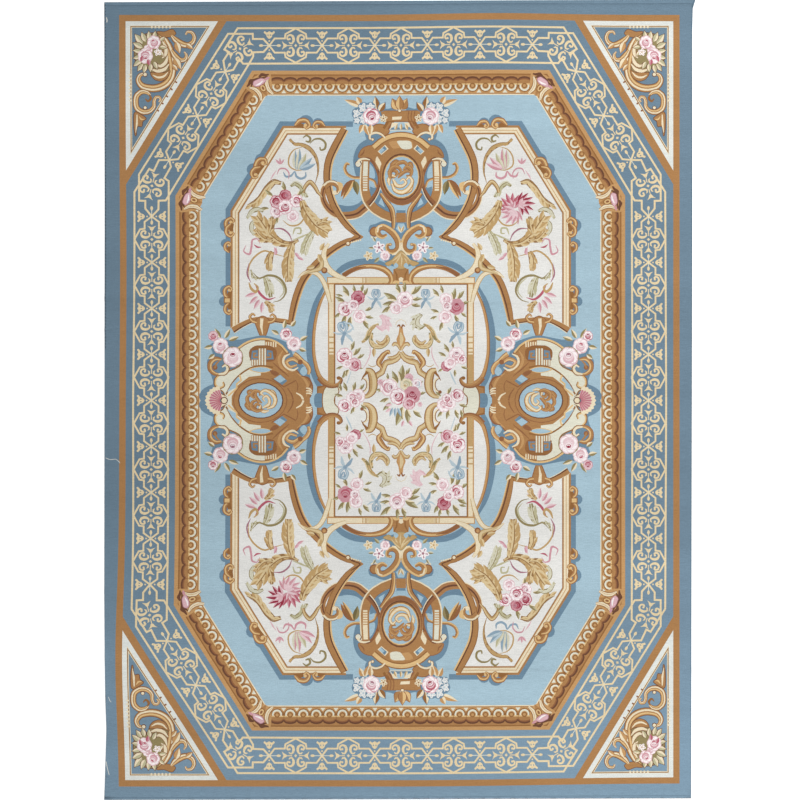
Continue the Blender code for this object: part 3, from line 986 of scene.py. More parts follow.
def draw_side_medallion():
    """The oval medallion at the left side of the field, its left half cream and its right half gold."""
    for side in (1, -1):
        with chart.mirrored(-1, side):
            chart.blob([(-200, 0), (-193, 10.6), (-187.6, 17), (-189, 24), (-192.6, 32), (-193.4, 40),
                        (-188, 47), (-191, 55), (-180, 60), (-160, 61), (-150, 63), (-138, 65),
                        (-124, 62), (-112, 56), (-108, 46), (-92, 28), (-92, 0)], SHADE)
    for side in (1, -1):
        with chart.mirrored(-1, side):
            chart.blob([(-101, 29), (-97, 34), (-93.6, 28), (-97, 24.6)], FIELD)
            chart.fill(smooth(SIDE_BODY) + [(-175, -1), (-140, -1)], CREAM_COOL)
            chart.fill(smooth(SIDE_BODY_RIGHT) + [(-140, 61.4), (-140, -1), (-91, -1)], GOLD)
            chart.fill([(-140, 61), (-136, 60.6), (-136, 34), (-150, 34), (-150, 20), (-140, 10)],
                       CREAM_COOL)
            chart.stroke(SIDE_BODY, 1.3, GOLD_DEEP)
            chart.stroke(SIDE_BODY_RIGHT, 1.2, BROWN_RED)
            chart.stroke([(-158.6, 45), (-164, 37), (-172, 33)], (1, 2.6, 1), GOLD_LIGHT)
            chart.stroke([(-104, 27.6), (-97, 22), (-93, 14), (-94.6, 4)], (0.8, 2.4, 2.6, 1), GOLD_MID)
            chart.stroke([(-118, 50), (-122, 42), (-120, 34), (-113, 27.6)], (0.8, 2.8, 2.6, 0.8),
                         GOLD_MID)
            chart.stroke([(-128, 38), (-120.6, 31), (-112, 24)], (0.6, 1.4, 0.6), BROWN_RED)
            arch = [(-163, 51.6), (-156, 56.6), (-148, 60), (-138.6, 61.4), (-128.6, 59.8), (-120, 55),
                    (-113.6, 47.6)]
            chart.ribbon(arch, 2.6, ((-1, 1, GOLD_DEEP), (-0.4, 1, GOLD_LIGHT)))
            chart.stroke([(-111, 46.6), (-116.4, 43.6), (-117.6, 38), (-113.6, 32.6), (-107.6, 30.2),
                          (-102.6, 33)],
                         (1, 2.2, 2.4, 2.4, 2.2, 1), CREAM)
            for i in range(5):
                x = -135.4 + 2.4 * i
                chart.fill([(x, 53.6), (x + 1.2, 53.2), (x + 1.4, 58.4), (x + 0.2, 58.8)], CREAM)
            outlined([(-150.4, 50), (-146, 53.6), (-138, 54.4), (-130, 53.6), (-125.4, 50), (-126.6, 41),
                      (-138, 39.6), (-149.6, 41)], BROWN_RED, GOLD_DEEP, 0.8)
            draw_key(1)
            draw_key(-1)
            chart.fill([(-142.4, 34.6), (-134.8, 34.6), (-134.8, 51.6), (-142.4, 52.2)], GOLD)
            for x in (-142, -139.2, -136.4):
                chart.fill([(x, 34.8), (x + 1.5, 34.8), (x + 1.5, 52), (x, 52)], CREAM_COOL)
            chart.fill([(-149.6, 34.6), (-142.4, 34.6), (-142.4, 41), (-149.6, 41)], GOLD)
            for x in (-149, -146.6, -144.2):
                chart.fill([(x, 35), (x + 1.3, 35), (x + 1.3, 40.6), (x, 40.6)], CREAM_COOL)
            chart.fill([(-140, 25), (-152, 23.6), (-163, 15), (-169, 4), (-169, -1), (-140, -1)], GOLD)
            lens = [(-174.6, 6), (-168, 18), (-158, 28), (-148, 33.4), (-138, 34.8), (-128, 33)]
            chart.stroke(lens, 1.6, GOLD_DEEP)
            chart.blob([(-152, 31.2), (-144, 33.6), (-134, 33.2), (-128.6, 30.6), (-134, 28.2),
                        (-144, 28)], GOLD_LIGHT)
            chart.blob([(-150, 31), (-144, 32.8), (-134, 32.4), (-129.6, 30.4), (-134, 28.8),
                        (-144, 28.8)], FIELD)
            chart.blob([(-131, 30.2), (-127, 30), (-122, 26.4), (-124, 24.4), (-129.6, 27)], BROWN_RED)
            chart.fill([(-173.6, 8.6), (-168.6, 16.6), (-162.6, 23.6), (-160.4, 19.4), (-164.4, 17),
                        (-165, 12.6)], FIELD)
            chart.stroke([(-172.4, 4.6), (-164, 12), (-164, 16.6), (-159.6, 20), (-161, 25.6)], 1.6,
                         GOLD_LIGHT,
                         curved=False)
            chart.fill([(-127.4, 21.4), (-120.6, 26), (-113.6, 19.6), (-118.6, 15.4)], SHADE)
            chart.fill([(-127, 21.6), (-120.6, 25.6), (-115.4, 21), (-121, 17.6)], FIELD)
            chart.stroke([(-129, 22), (-117, 13.6), (-105, 20)], 1.1, BROWN_RED, curved=False)
            chart.stroke([(-113.4, 12.4), (-109, 5.6), (-107.6, 0)], (0.8, 1.2, 1.4), BROWN_RED)
            chart.stroke([(-104.8, 7.6), (-99.6, 4.4), (-97.4, 0)], (1, 1.8, 2), CREAM)
            chart.stroke([(-104.6, 19.6), (-103, 14), (-103.8, 9)], (0.5, 1, 0.5), BROWN_RED)
            chart.stroke([(-100, 24.6), (-93.4, 22.6), (-89.8, 17), (-92, 12.6), (-96, 10)],
                         (0.8, 1.4, 1.6, 1.4, 0.6), BROWN_RED)
            for i in range(3):
                chart.stroke([(-95, 12.4 - 2.6 * i), (-91.6, 12 - 2.4 * i), (-89, 9.6 - 1.8 * i)],
                             (0.8, 1.6, 1), CREAM)
            rolled = [(-171, 29), (-179, 27), (-185, 21.6), (-185, 15), (-180.6, 12.4), (-176.6, 15),
                      (-177.6, 18.6)]
            chart.ribbon(rolled, (1.4, 2, 2.2, 2.4, 2.6, 2.4, 1.8), ((-1, 1, GOLD_DEEP),
                                                                     (-0.2, 1, GOLD_LIGHT)))
            back = [(-179, 41), (-185, 41.8), (-190.4, 37), (-190.4, 31), (-185.6, 26.6), (-179.6, 25.6)]
            chart.ribbon(back, (2.6, 4.6, 5.2, 4.8, 4, 2), ((-1, 1, BROWN_RED), (-0.7, 0.8, GOLD),
                                                            (0.1, 0.7, GOLD_LIGHT)))
            chart.disc(-185.6, 33, 2.6, BROWN_RED)
            chart.stroke([(-186, 32), (-184, 37), (-181, 40)], (1.6, 2, 1), GOLD)
            scroll([(-182, 26), (-175.6, 26.8), (-172.6, 31.6), (-175, 35.8), (-178.6, 33.6)],
                   (2.2, 3.4, 3.6, 3, 2),
                   ((-1, 1, GOLD_DEEP), (-0.4, 1, CREAM)))
            chart.ribbon([(-174, 3), (-178.6, 4.6), (-182.6, 8.6)], (2.4, 4, 3), ((-1, 1, BROWN),
                                                                                  (-0.6, 0.9, CREAM)))
    for i in range(11):
        angle = 112 + 13.6 * i
        with chart.at(-178, 0, angle):
            reach = 13.6 + 3.4 * math.cos(math.radians(angle - 180))
            chart.fill([(3, -0.6), (reach - 1, -2.3), (reach + 0.8, 0), (reach - 1, 2.3), (3, 0.6)],
                       CREAM)
            chart.fill([(2.6, -0.5), (reach - 4.6, -1.6), (reach - 3.4, 0), (reach - 4.6, 1.6),
                        (2.6, 0.5)], PINK)
            chart.fill([(2.6, -0.4), (reach - 3.6, -0.3), (reach - 3.6, 0.3), (2.6, 0.4)], ROSE)
    chart.disc(-176.4, 0, 3.8, BROWN)
    chart.disc(-176.4, 0, 2.8, CREAM)
    chart.disc(-140.6, 0, 27, BROWN_RED, 22.4)
    chart.disc(-140.6, 0, 26.2, GOLD, 21.6)
    chart.disc(-140, 0, 22.6, BROWN, 18.2)
    chart.disc(-140, 0, 21.4, FIELD, 17.2)
    with chart.at(-140, 0, 90):
        foliage(0.92, 1.04)


def draw_side_roses():
    """The roses above and below a side medallion, and the bows at its inner side."""
    for side in (1, -1):
        with chart.mirrored(-1, side):
            leaves(((-180, 62, 120, 12), (-176, 62, 60, 11), (-188, 54, 190, 9), (-172, 60, 20, 11),
                    (-186, 46, 215, 8), (-117, 72, 80, 9), (-122, 66, 150, 9), (-101, 60, 30, 9), (-102,
                                                                                                   52,
                                                                                                   -20,
                                                                                                   8),
                                                                                                   (-110,
                                                                                                    74,
                                                                                                    50,
                                                                                                    8)),
                                                                                                    4.4,
                                                                                                    CREAM,
                                                                                                    OLIVE)
            with chart.at(-180, 54.6, 20):
                rose(8.4, 0, (PETAL, BLUSH, BLUSH_DEEP, ROSE))
            with chart.at(-187.4, 64.6, 0):
                rose(5.4, 0, (BLUSH, PINK, ROSE, CRIMSON) if side > 0 else (PETAL, PINK, ROSE, CRIMSON))
            with chart.at(-168, 43.6, 0):
                chart.disc(0, 0, 10.6, OLIVE)
                rose(10.4, 0, (PETAL, BLUSH, BLUSH, CRIMSON) if side > 0 else (PETAL, BLUSH, BLUSH_DEEP,
                                                                               MAUVE))
            with chart.at(-115, 66, 160):
                rose(6.6, 0, (PETAL, BLUSH_DEEP, ROSE, CRIMSON))
            with chart.at(-107, 56.6, 200):
                rose(7.8, 0, (PETAL, BLUSH, BLUSH_DEEP, MAUVE))
            knot = ((-1, 1, BROWN_RED), (-0.8, 0.7, GOLD_MID), (0, 0.7, GOLD_LIGHT))
            chart.ribbon([(-101, 37), (-108, 41.6), (-114.6, 38.4), (-111, 33.6), (-104, 35.4)],
                         (2.6, 4.4, 3.6, 3.2, 2.4), knot)
            chart.ribbon([(-107, 46.6), (-103, 44), (-98.6, 39.6), (-94, 35.6), (-91.6, 30), (-92.6, 26)],
                         (5.4, 4.6, 4.2, 4.6, 4.4, 3), knot)
            chart.disc(-100.6, 38.4, 2.6, BROWN_RED)


# The centre of the field

def draw_centre_ground():
    """The ivory rectangle with its columns, bars and the shallow lunettes around it."""
    for side in (-1, 1):
        with chart.mirrored(side, 1):
            outer = [(-76, 116), (-84, 100), (-89.6, 80), (-91.8, 60), (-90.6, 40), (-84.6, 20), (-77, 6)]
            lunette = [(-74, 112), (-80.6, 98), (-85.4, 80), (-87.4, 60), (-86.2, 40), (-80, 22),
                       (-71, 15)]
            for end in (1, -1):
                with chart.mirrored(-1, end):
                    chart.stroke(outer, (2, 5, 6, 6.4, 6.2, 5.4, 4), SHADE)
                    chart.fill(smooth(lunette) + [(-66, 15), (-66, 112)], IVORY)
                    chart.ribbon(lunette, (2.4, 3, 3.2, 3.2, 3.4, 4.2, 5), ((-1, 1, GOLD_DEEP),
                                                                            (-0.5, 0.9, GOLD_MID)))
                    chart.fill([(-73, 116), (-65.6, 116), (-65.6, 14), (-73, 14)], GOLD_MID)
                    chart.fill([(-71.8, 116), (-67.4, 116), (-67.4, 14), (-71.8, 14)], CREAM)
                    chart.fill([(-71.8, 46), (-67.4, 46), (-67.4, 14), (-71.8, 14)], OCHRE_MID)
                    for y in (62.6, 57, 51.4, 47.6):
                        chart.fill([(-71.8, y), (-67.4, y), (-67.4, y + 1.4), (-71.8, y + 1.4)],
                                   OCHRE_MID)
    for end in (1, -1):
        with chart.mirrored(-1, end):
            for side in (-1, 1):
                with chart.mirrored(side, 1):
                    shade = [(-68, 123), (-60, 131), (-50, 136.4), (-38, 139), (-26, 138.6), (-14, 135)]
                    chart.stroke(shade, (4, 6, 6.4, 6, 5.4, 4), SHADE)
                    top = [(-58, 124.6), (-52, 128.6), (-44, 132.2), (-35, 134), (-25, 133.6),
                           (-16, 130.6),
                           (-10.6, 125), (-9.6, 119), (-13, 114.8), (-18, 114.6)]
                    chart.fill(smooth(top[:7]) + [(-10.6, 122), (-66, 122)], IVORY)
                    chart.fill([(-74, 123.4), (-12, 123.4), (-12, 116), (-74, 116)], GOLD_MID)
                    chart.fill([(-73, 122.6), (-12, 122.6), (-12, 117.6), (-73, 117.6)], CREAM)
                    chart.fill([(-33, 122.6), (-12, 122.6), (-12, 117.6), (-33, 117.6)], OCHRE_LIGHT)
                    for x in (-38.6, -36.2, -34.6):
                        chart.fill([(x, 122.6), (x + 1, 122.6), (x + 1, 117.6), (x, 117.6)], OCHRE_MID)
                    chart.ribbon(top, (5, 4.8, 4.6, 4.6, 4.8, 5.6, 6.4, 5.4, 4.6, 2.6),
                                 ((-1, 1, GOLD_DEEP), (-0.84, 0.84, GOLD), (-0.1, 0.5, GOLD_LIGHT)))
                    chart.stroke(top[:4], (4, 3.2, 2.4, 0.6), BROWN_RED)
                    chart.disc(-17.6, 115.4, 1.9, GOLD_DEEP)
            chart.fill([(-7.6, 131.4), (0, 133.4), (7.6, 131.4), (8.4, 118), (-8.4, 118)], GOLD)
            for side in (-1, 1):
                with chart.mirrored(side, 1):
                    chart.stroke([(-7, 131), (-4.4, 126), (-4, 120)], (1, 1.6, 1), GOLD_DEEP)
                    chart.stroke([(-1.6, 118), (-6, 118), (-8, 114.6), (-5, 113.2)], (2.6, 3.6, 3, 1.4),
                                 GOLD_LIGHT)
            chart.fill([(-2.4, 122), (0, 123.4), (2.4, 122), (1.6, 118.6), (-1.6, 118.6)], CREAM)
    chart.fill(rectangle(66.8, 116.8), GOLD_DEEP)
    chart.fill(rectangle(65.6, 115.6), IVORY)


def draw_side_knots():
    """Where the side lunettes meet at the middle of a column: two hooked straps and a cream neck."""
    for side in (-1, 1):
        with chart.mirrored(side, 1):
            chart.fill([(-84, 14), (-73, 16), (-73, -16), (-84, -14)], GOLD_DEEP)
            chart.fill([(-82.6, 12), (-73, 15), (-73, -15), (-82.6, -12)], GOLD)
            chart.blob([(-84.6, 7), (-78.6, 6.6), (-76.6, 0), (-78.6, -6.6), (-84.6, -7)], SHADE)
            neck = [(-73, 14), (-63.6, 13), (-62.6, 8.6), (-66.6, 3.6), (-66.6, -3.6), (-62.6, -8.6),
                    (-63.6, -13),
                    (-73, -14)]
            outlined(neck, GOLD_DEEP, CREAM_COOL, 1)
            for end in (1, -1):
                with chart.mirrored(-1, end):
                    chart.ribbon([(-82, 23), (-76, 16.6), (-68.6, 14.4), (-62, 16.4), (-59.8, 21),
                                  (-62.6, 23.4)],
                                 (5.6, 5.4, 4.8, 4.4, 3.8, 2.4), ((-1, 1, BROWN_RED), (-0.3, 0.9, GOLD),
                                                                  (0.5, 0.9, GOLD_MID)))
                    chart.disc(-62.6, 22.4, 1.9, GOLD_DEEP)


def draw_corner_ties():
    """The cream straps that tie a panel's lower corner to the centre, in the top left quarter."""
    tied = ((-1, 1, OLIVE), (-0.84, 0.84, OCHRE_MID), (-0.5, 0.5, OCHRE_LIGHT))
    chart.ribbon([(-103, 122.6), (-97, 127.4), (-90, 128.6), (-83, 126), (-77.6, 119), (-74, 110),
                  (-71, 98)], (1.4, 3.6, 4.4, 4.8, 5, 5, 3.6), ((-1, 1, OCHRE_MID), (-0.7, 0.7, CREAM)))
    chart.ribbon([(-72, 157), (-76.4, 150), (-77, 141), (-73, 132), (-65, 125.4), (-55, 121.6)],
                 (2.6, 5, 6.4, 6.4, 5.4, 3.6), ((-1, 1, OCHRE_MID), (-0.8, 0.8, CREAM)))
    chart.ribbon([(-82, 146), (-79.4, 139), (-80, 133), (-88, 129.6), (-97, 127)], (2.4, 4.6, 5, 3.6, 1),
                 tied)
    for x, y, turn in ((-81, 150, 60), (-86, 134, 190), (-80, 138, 110)):
        with chart.at(x, y, turn):
            leaf(9, 4.4, OCHRE_LIGHT, OCHRE_MID)
    chart.disc(-76.6, 130, 3.2, BROWN_RED)
    chart.disc(-76.8, 130.4, 1.9, GOLD_MID)


CARTOUCHE = ((-1, 1, GOLD_DEEP), (-0.74, 0.8, OCHRE_MID), (-0.2, 0.6, OCHRE_LIGHT))


def draw_cartouche():
    """The gilt cartouche around the middle bouquet."""
    for sx, sy in QUADRANTS:
        with chart.mirrored(sx, sy):
            chart.ribbon([(0, 47.6), (-3.6, 42), (-9.6, 39), (-15, 37.6), (-17.4, 33), (-19, 28.4),
                          (-23.6, 25.4),
                          (-27.6, 20.6)], (4.6, 5.4, 5.8, 6, 6, 6, 5.8, 4.6), CARTOUCHE)
            chart.ribbon([(-1, 49), (-3.4, 45.4), (-8, 43), (-13.6, 43)], (2.6, 3.2, 3.4, 1.8), CARTOUCHE)
            chart.ribbon([(-19, 32), (-22.2, 37.4), (-19.6, 43), (-16, 47), (-12.6, 48.8), (-11.6, 46.4)],
                         (2, 5.4, 6.2, 5.4, 4.2, 2.6), GILT)
            chart.ribbon([(-35.4, 30.4), (-31, 29), (-28.4, 23.6), (-27.6, 16), (-29, 9), (-33.6, 4.4),
                          (-38, 3.4)],
                         (4.6, 8, 9, 9, 8, 5.6, 3.4), CARTOUCHE)
            chart.ribbon([(-38.4, 22.6), (-34.8, 20.6), (-33.4, 15), (-36, 9.6), (-39.6, 8.4)],
                         (1.6, 2.6, 2.6, 2.4, 1.6),
                         ((-1, 1, GOLD_DEEP), (-0.3, 1, CREAM)))
            chart.disc(-39, 8.4, 1.9, BROWN_RED)
            chart.stroke([(-33.4, 28.6), (-37.6, 24), (-39.6, 20)], (3, 1.8, 0.6), GOLD_DEEP)
            chart.ribbon([(0, 50), (-3, 55.6), (-6.6, 56.8), (-8.4, 54.4)], (2.4, 3.8, 3.8, 2.6),
                         CARTOUCHE)
            chart.blob([(0, 52), (-3, 56), (-4.6, 61), (-2.6, 66), (-1.6, 71), (0, 74)], GOLD_MID)
            chart.blob([(0, 54), (-1.6, 57), (-2.6, 61), (-1.2, 66), (0, 68)], OCHRE_LIGHT)
            chart.stroke([(-0.4, 72), (-2, 75.4), (-4, 74)], (1, 1.8, 1), BROWN_RED)
            chart.stroke([(-5.4, 75), (-4, 79), (0, 81)], 0.5, OCHRE_LIGHT)
            acanthus([(-39.6, 58.4), (-35.4, 62.6), (-33, 69), (-28.6, 74.4), (-22.6, 77)], 8,
                     (OCHRE_LIGHT, OCHRE_MID, OLIVE), 4, 32, -1)
            acanthus([(-29.6, 68), (-31.4, 60), (-28.6, 54.2), (-22, 52.2), (-15.4, 55), (-11.6, 61),
                      (-13.6, 65.6)],
                     9.6, (OCHRE_LIGHT, OCHRE_MID, OLIVE), 6, 40, 1)
            chart.ribbon([(-25, 60), (-21, 57), (-16.6, 59), (-14.6, 64)], (1.6, 3.6, 3.8, 1.6),
                         CARTOUCHE)
            with chart.at(-26.6, 53, 262):
                leaf(10, 4, OCHRE_LIGHT, OCHRE_MID, 1)
            chart.stroke([(-31, 54), (-30.6, 48), (-34, 38), (-38, 32)], (0.6, 1, 0.9, 0.4), BLUSH_DEEP)
            chart.stroke([(-33, 36), (-28.6, 33.6), (-24, 35.6)], (0.5, 0.9, 0.5), OCHRE_MID)
    for turn in (0, 180):
        with chart.at(0, 0, turn):
            for x, y, lean, light, dark in ((-20, 85, -30, BLUSH, BLUSH_DEEP), (20, 86, 208, SAGE_PALE,
                                                                                OLIVE)):
                with chart.at(x, y, lean, 1, 1 if x < 0 else -1):
                    chart.stroke([(-1, -1), (5, -1.6), (8.6, -6), (6.6, -11), (1, -11.4)], (1.6, 5.6, 7,
                                                                                            5, 1.4), dark)
                    chart.stroke([(0, -1.2), (5, -2), (8, -6), (6.2, -10.2), (2, -10.8)], (0.8, 3.6, 4.6,
                                                                                           3, 0.8), light)
                    acanthus([(0, 0), (6, -1), (10, -6.4), (7, -12)], 7.4, (light, light, dark), 5, 44, 1)


def posy(blooms, sprigs):
    """Roses among leaves: a bloom is x, y, radius and its tones; a sprig is x, y, turn and length."""
    for x, y, turn, length in sprigs:
        with chart.at(x, y, turn):
            leaf(length * 1.3, length * 0.46, SAGE, OLIVE)
            leaf(length * 0.8, length * 0.34, CREAM, OLIVE, length * 0.3)
    for i, (x, y, radius, colours) in enumerate(blooms):
        with chart.at(x, y, 70 * i):
            rose(radius * 1.34, 0, colours)


RED_ROSE = (PINK, ROSE, CRIMSON, CRIMSON)
PINK_ROSE = (PETAL, BLUSH_DEEP, ROSE, CRIMSON)
PALE_ROSE = (PETAL, BLUSH, BLUSH_DEEP, PINK)
MAUVE_ROSE = (PETAL, BLUSH, PINK, MAUVE)


def bow(size):
    """A pale blue ribbon bow, its loops to both sides and its tails down."""
    with chart.at(0, 0, 0, size):
        for flip in (1, -1):
            with chart.at(0, 0, 0 if flip > 0 else 180, 1, flip):
                chart.stroke([(0, 0), (3.6, 5), (2.4, 9.6), (-1.6, 9), (-0.4, 4)], (1.6, 2.8, 2.6, 2.4,
                                                                                    1), RIBBON_DEEP)
                chart.stroke([(0, 0), (3.6, 5), (2.4, 9.6), (-1, 9)], (0.8, 1.4, 1.3, 0.8), RIBBON)
                chart.stroke([(0.6, 0), (6, 1), (9.6, 3.6)], (2, 2, 0.6), RIBBON)
        chart.stroke([(0, 0), (-3, -4.6), (-4.6, -9.6)], (2, 3.4, 1.2), RIBBON_DEEP)
        chart.stroke([(0, 0), (3.6, -4), (5.6, -9)], (2, 3.2, 1.2), RIBBON)
        chart.disc(0, 0, 2, RIBBON_DEEP)


def draw_garland():
    """Half of the flower garland around the ivory rectangle; the other half is the same, turned round."""
    posy(((-43, 103, 5.6, RED_ROSE), (-56, 91.6, 5.8, PINK_ROSE), (-48, 95, 4.6, MAUVE_ROSE),
          (-41.6, 84, 5.2, PALE_ROSE)),
         ((-56, 98, 150, 9), (-52, 104, 120, 10), (-46, 107, 100, 7), (-38, 104, 60, 8),
          (-36, 90, 20, 7), (-38, 81, -60, 9), (-54, 86, 240, 9), (-60, 88, 220, 7),
          (-50, 84, 255, 9), (-36, 84, -10, 7), (-58, 104, 165, 6), (-40, 108, 75, 7)))
    with chart.at(-25, 101):
        bow(0.95)
    with chart.at(24.6, 101):
        bow(0.95)
    posy(((4, 101, 6.4, MAUVE_ROSE), (-5, 92.6, 5, PALE_ROSE)),
         ((-1, 107, 110, 9), (3, 107, 85, 9), (-4, 100, 150, 12), (10, 106, 40, 11),
          (11, 101, 5, 8), (10, 96, -10, 8), (-6, 98, 190, 10), (-10, 94, 215, 9)))
    posy(((55.6, 94, 6.4, (PINK, PINK, ROSE, CRIMSON)), (45, 101, 5.2, PALE_ROSE), (44, 83.6, 5.2,
                                                                                    PALE_ROSE),
          (46, 94, 4, MAUVE_ROSE)),
         ((52, 100, 80, 10), (56, 101, 50, 9), (60, 96, 20, 7), (38, 104, 130, 8),
          (42, 107, 105, 7), (38, 88, 160, 7), (36, 84, 200, 6), (42, 79, 250, 8),
          (54, 86, 290, 8), (60, 88, 320, 6)))
    for x, tilt in ((-56.6, 14), (56, -14)):
        with chart.at(x, 67, tilt):
            bow(1.1)
    posy(((-56.6, 44.6, 6.4, PINK_ROSE), (-46.6, 36, 5.4, (BLUSH, PINK, ROSE, CRIMSON)), (-54, 36.6, 3.6,
                                                                                          PALE_ROSE)),
         ((-50, 50, 70, 8), (-48, 45, 45, 9), (-44, 42, 30, 7), (-52, 31, 230, 9),
          (-58, 34, 200, 6), (-44, 33, -10, 5), (-56, 30, 260, 6)))
    posy(((55.6, 45.4, 6.4, MAUVE_ROSE), (45.4, 34.4, 4.4, RED_ROSE), (49, 37.6, 4.8, PALE_ROSE),
          (61, 41, 3.8, PINK_ROSE)),
         ((48, 48, 120, 8), (45, 44, 150, 7), (60, 34, -20, 6), (54, 31, 270, 6),
          (42, 32, 215, 5), (52, 52, 95, 6)))
    posy(((-43, 4.4, 5.8, PALE_ROSE), (-56.6, -5, 5.2, PINK_ROSE), (-49, 3, 4.6, MAUVE_ROSE),
          (-46, -2, 4, PINK_ROSE)),
         ((-54, 9, 110, 8), (-48, 9, 75, 8), (-42, 10, 50, 7), (-58, 4, 165, 7),
          (-46, -6, 240, 7), (-40, -4, 320, 6), (-60, 9, 100, 7)))
    chart.stroke([(-57, 78), (-50, 76), (-47, 70)], (0.8, 2, 0.8), RIBBON)
    chart.stroke([(-50, 29), (-52, 23), (-54, 17)], (0.8, 1.8, 0.8), RIBBON)
    chart.stroke([(49, 29), (51, 24), (55, 16)], (0.8, 1.8, 0.8), RIBBON)


def draw_bouquet():
    """The bouquet in the middle of the rug."""
    posy(((8, 22.6, 3.6, (BLUSH_DEEP, BLUSH_DEEP, MAUVE, PINK)), (16, 17, 3.8, (PETAL, BLUSH, RIBBON,
                                                                                MAUVE)),
          (5, 16, 5, (CREAM, SAGE_PALE, SAGE, OCHRE_MID)), (-20.4, 18, 2.6, (BLUSH, BLUSH_DEEP, PINK,
                                                                             MAUVE)),
          (-12, 13, 7, MAUVE_ROSE), (11, 5.6, 7, (PINK, PINK, CRIMSON, CRIMSON)), (-3, 4, 6.6, PINK_ROSE),
          (8, -3, 5, (BLUSH, PINK, ROSE, CRIMSON)), (19, -4, 2, (BLUSH, BLUSH_DEEP, PINK, PINK))),
         ((0, 18, 85, 14), (-3, 17, 115, 11), (-13, 20, 95, 6), (-17, 10, 175, 7),
          (-12, 2, 200, 8), (2, -6, 250, 16), (6, -8, 275, 12), (12, -10, 320, 9),
          (18, 6, 20, 6), (14, 13, 40, 8), (-10, -2, 225, 9), (4, 24, 60, 8)))
    for x, turn in ((-8, 250), (-5.6, 268), (-3.4, 292)):
        with chart.at(x, -7, turn):
            leaf(10, 3.2, RIBBON, RIBBON_DEEP)
    for x, y, turn in ((-10, -8, 215), (-9, -4, 190), (8, -20, 300), (3, -20, 250)):
        with chart.at(x, y, turn):
            leaf(7, 3, BLUSH, PINK if x > 0 else BLUSH_DEEP)


# The corner panels and the flowers of the large panels

STRANDS = ((-1, 1, BROWN), (-0.86, 0.86, GOLD), (-0.56, -0.1, CREAM), (0.2, 0.62, GOLD_LIGHT))


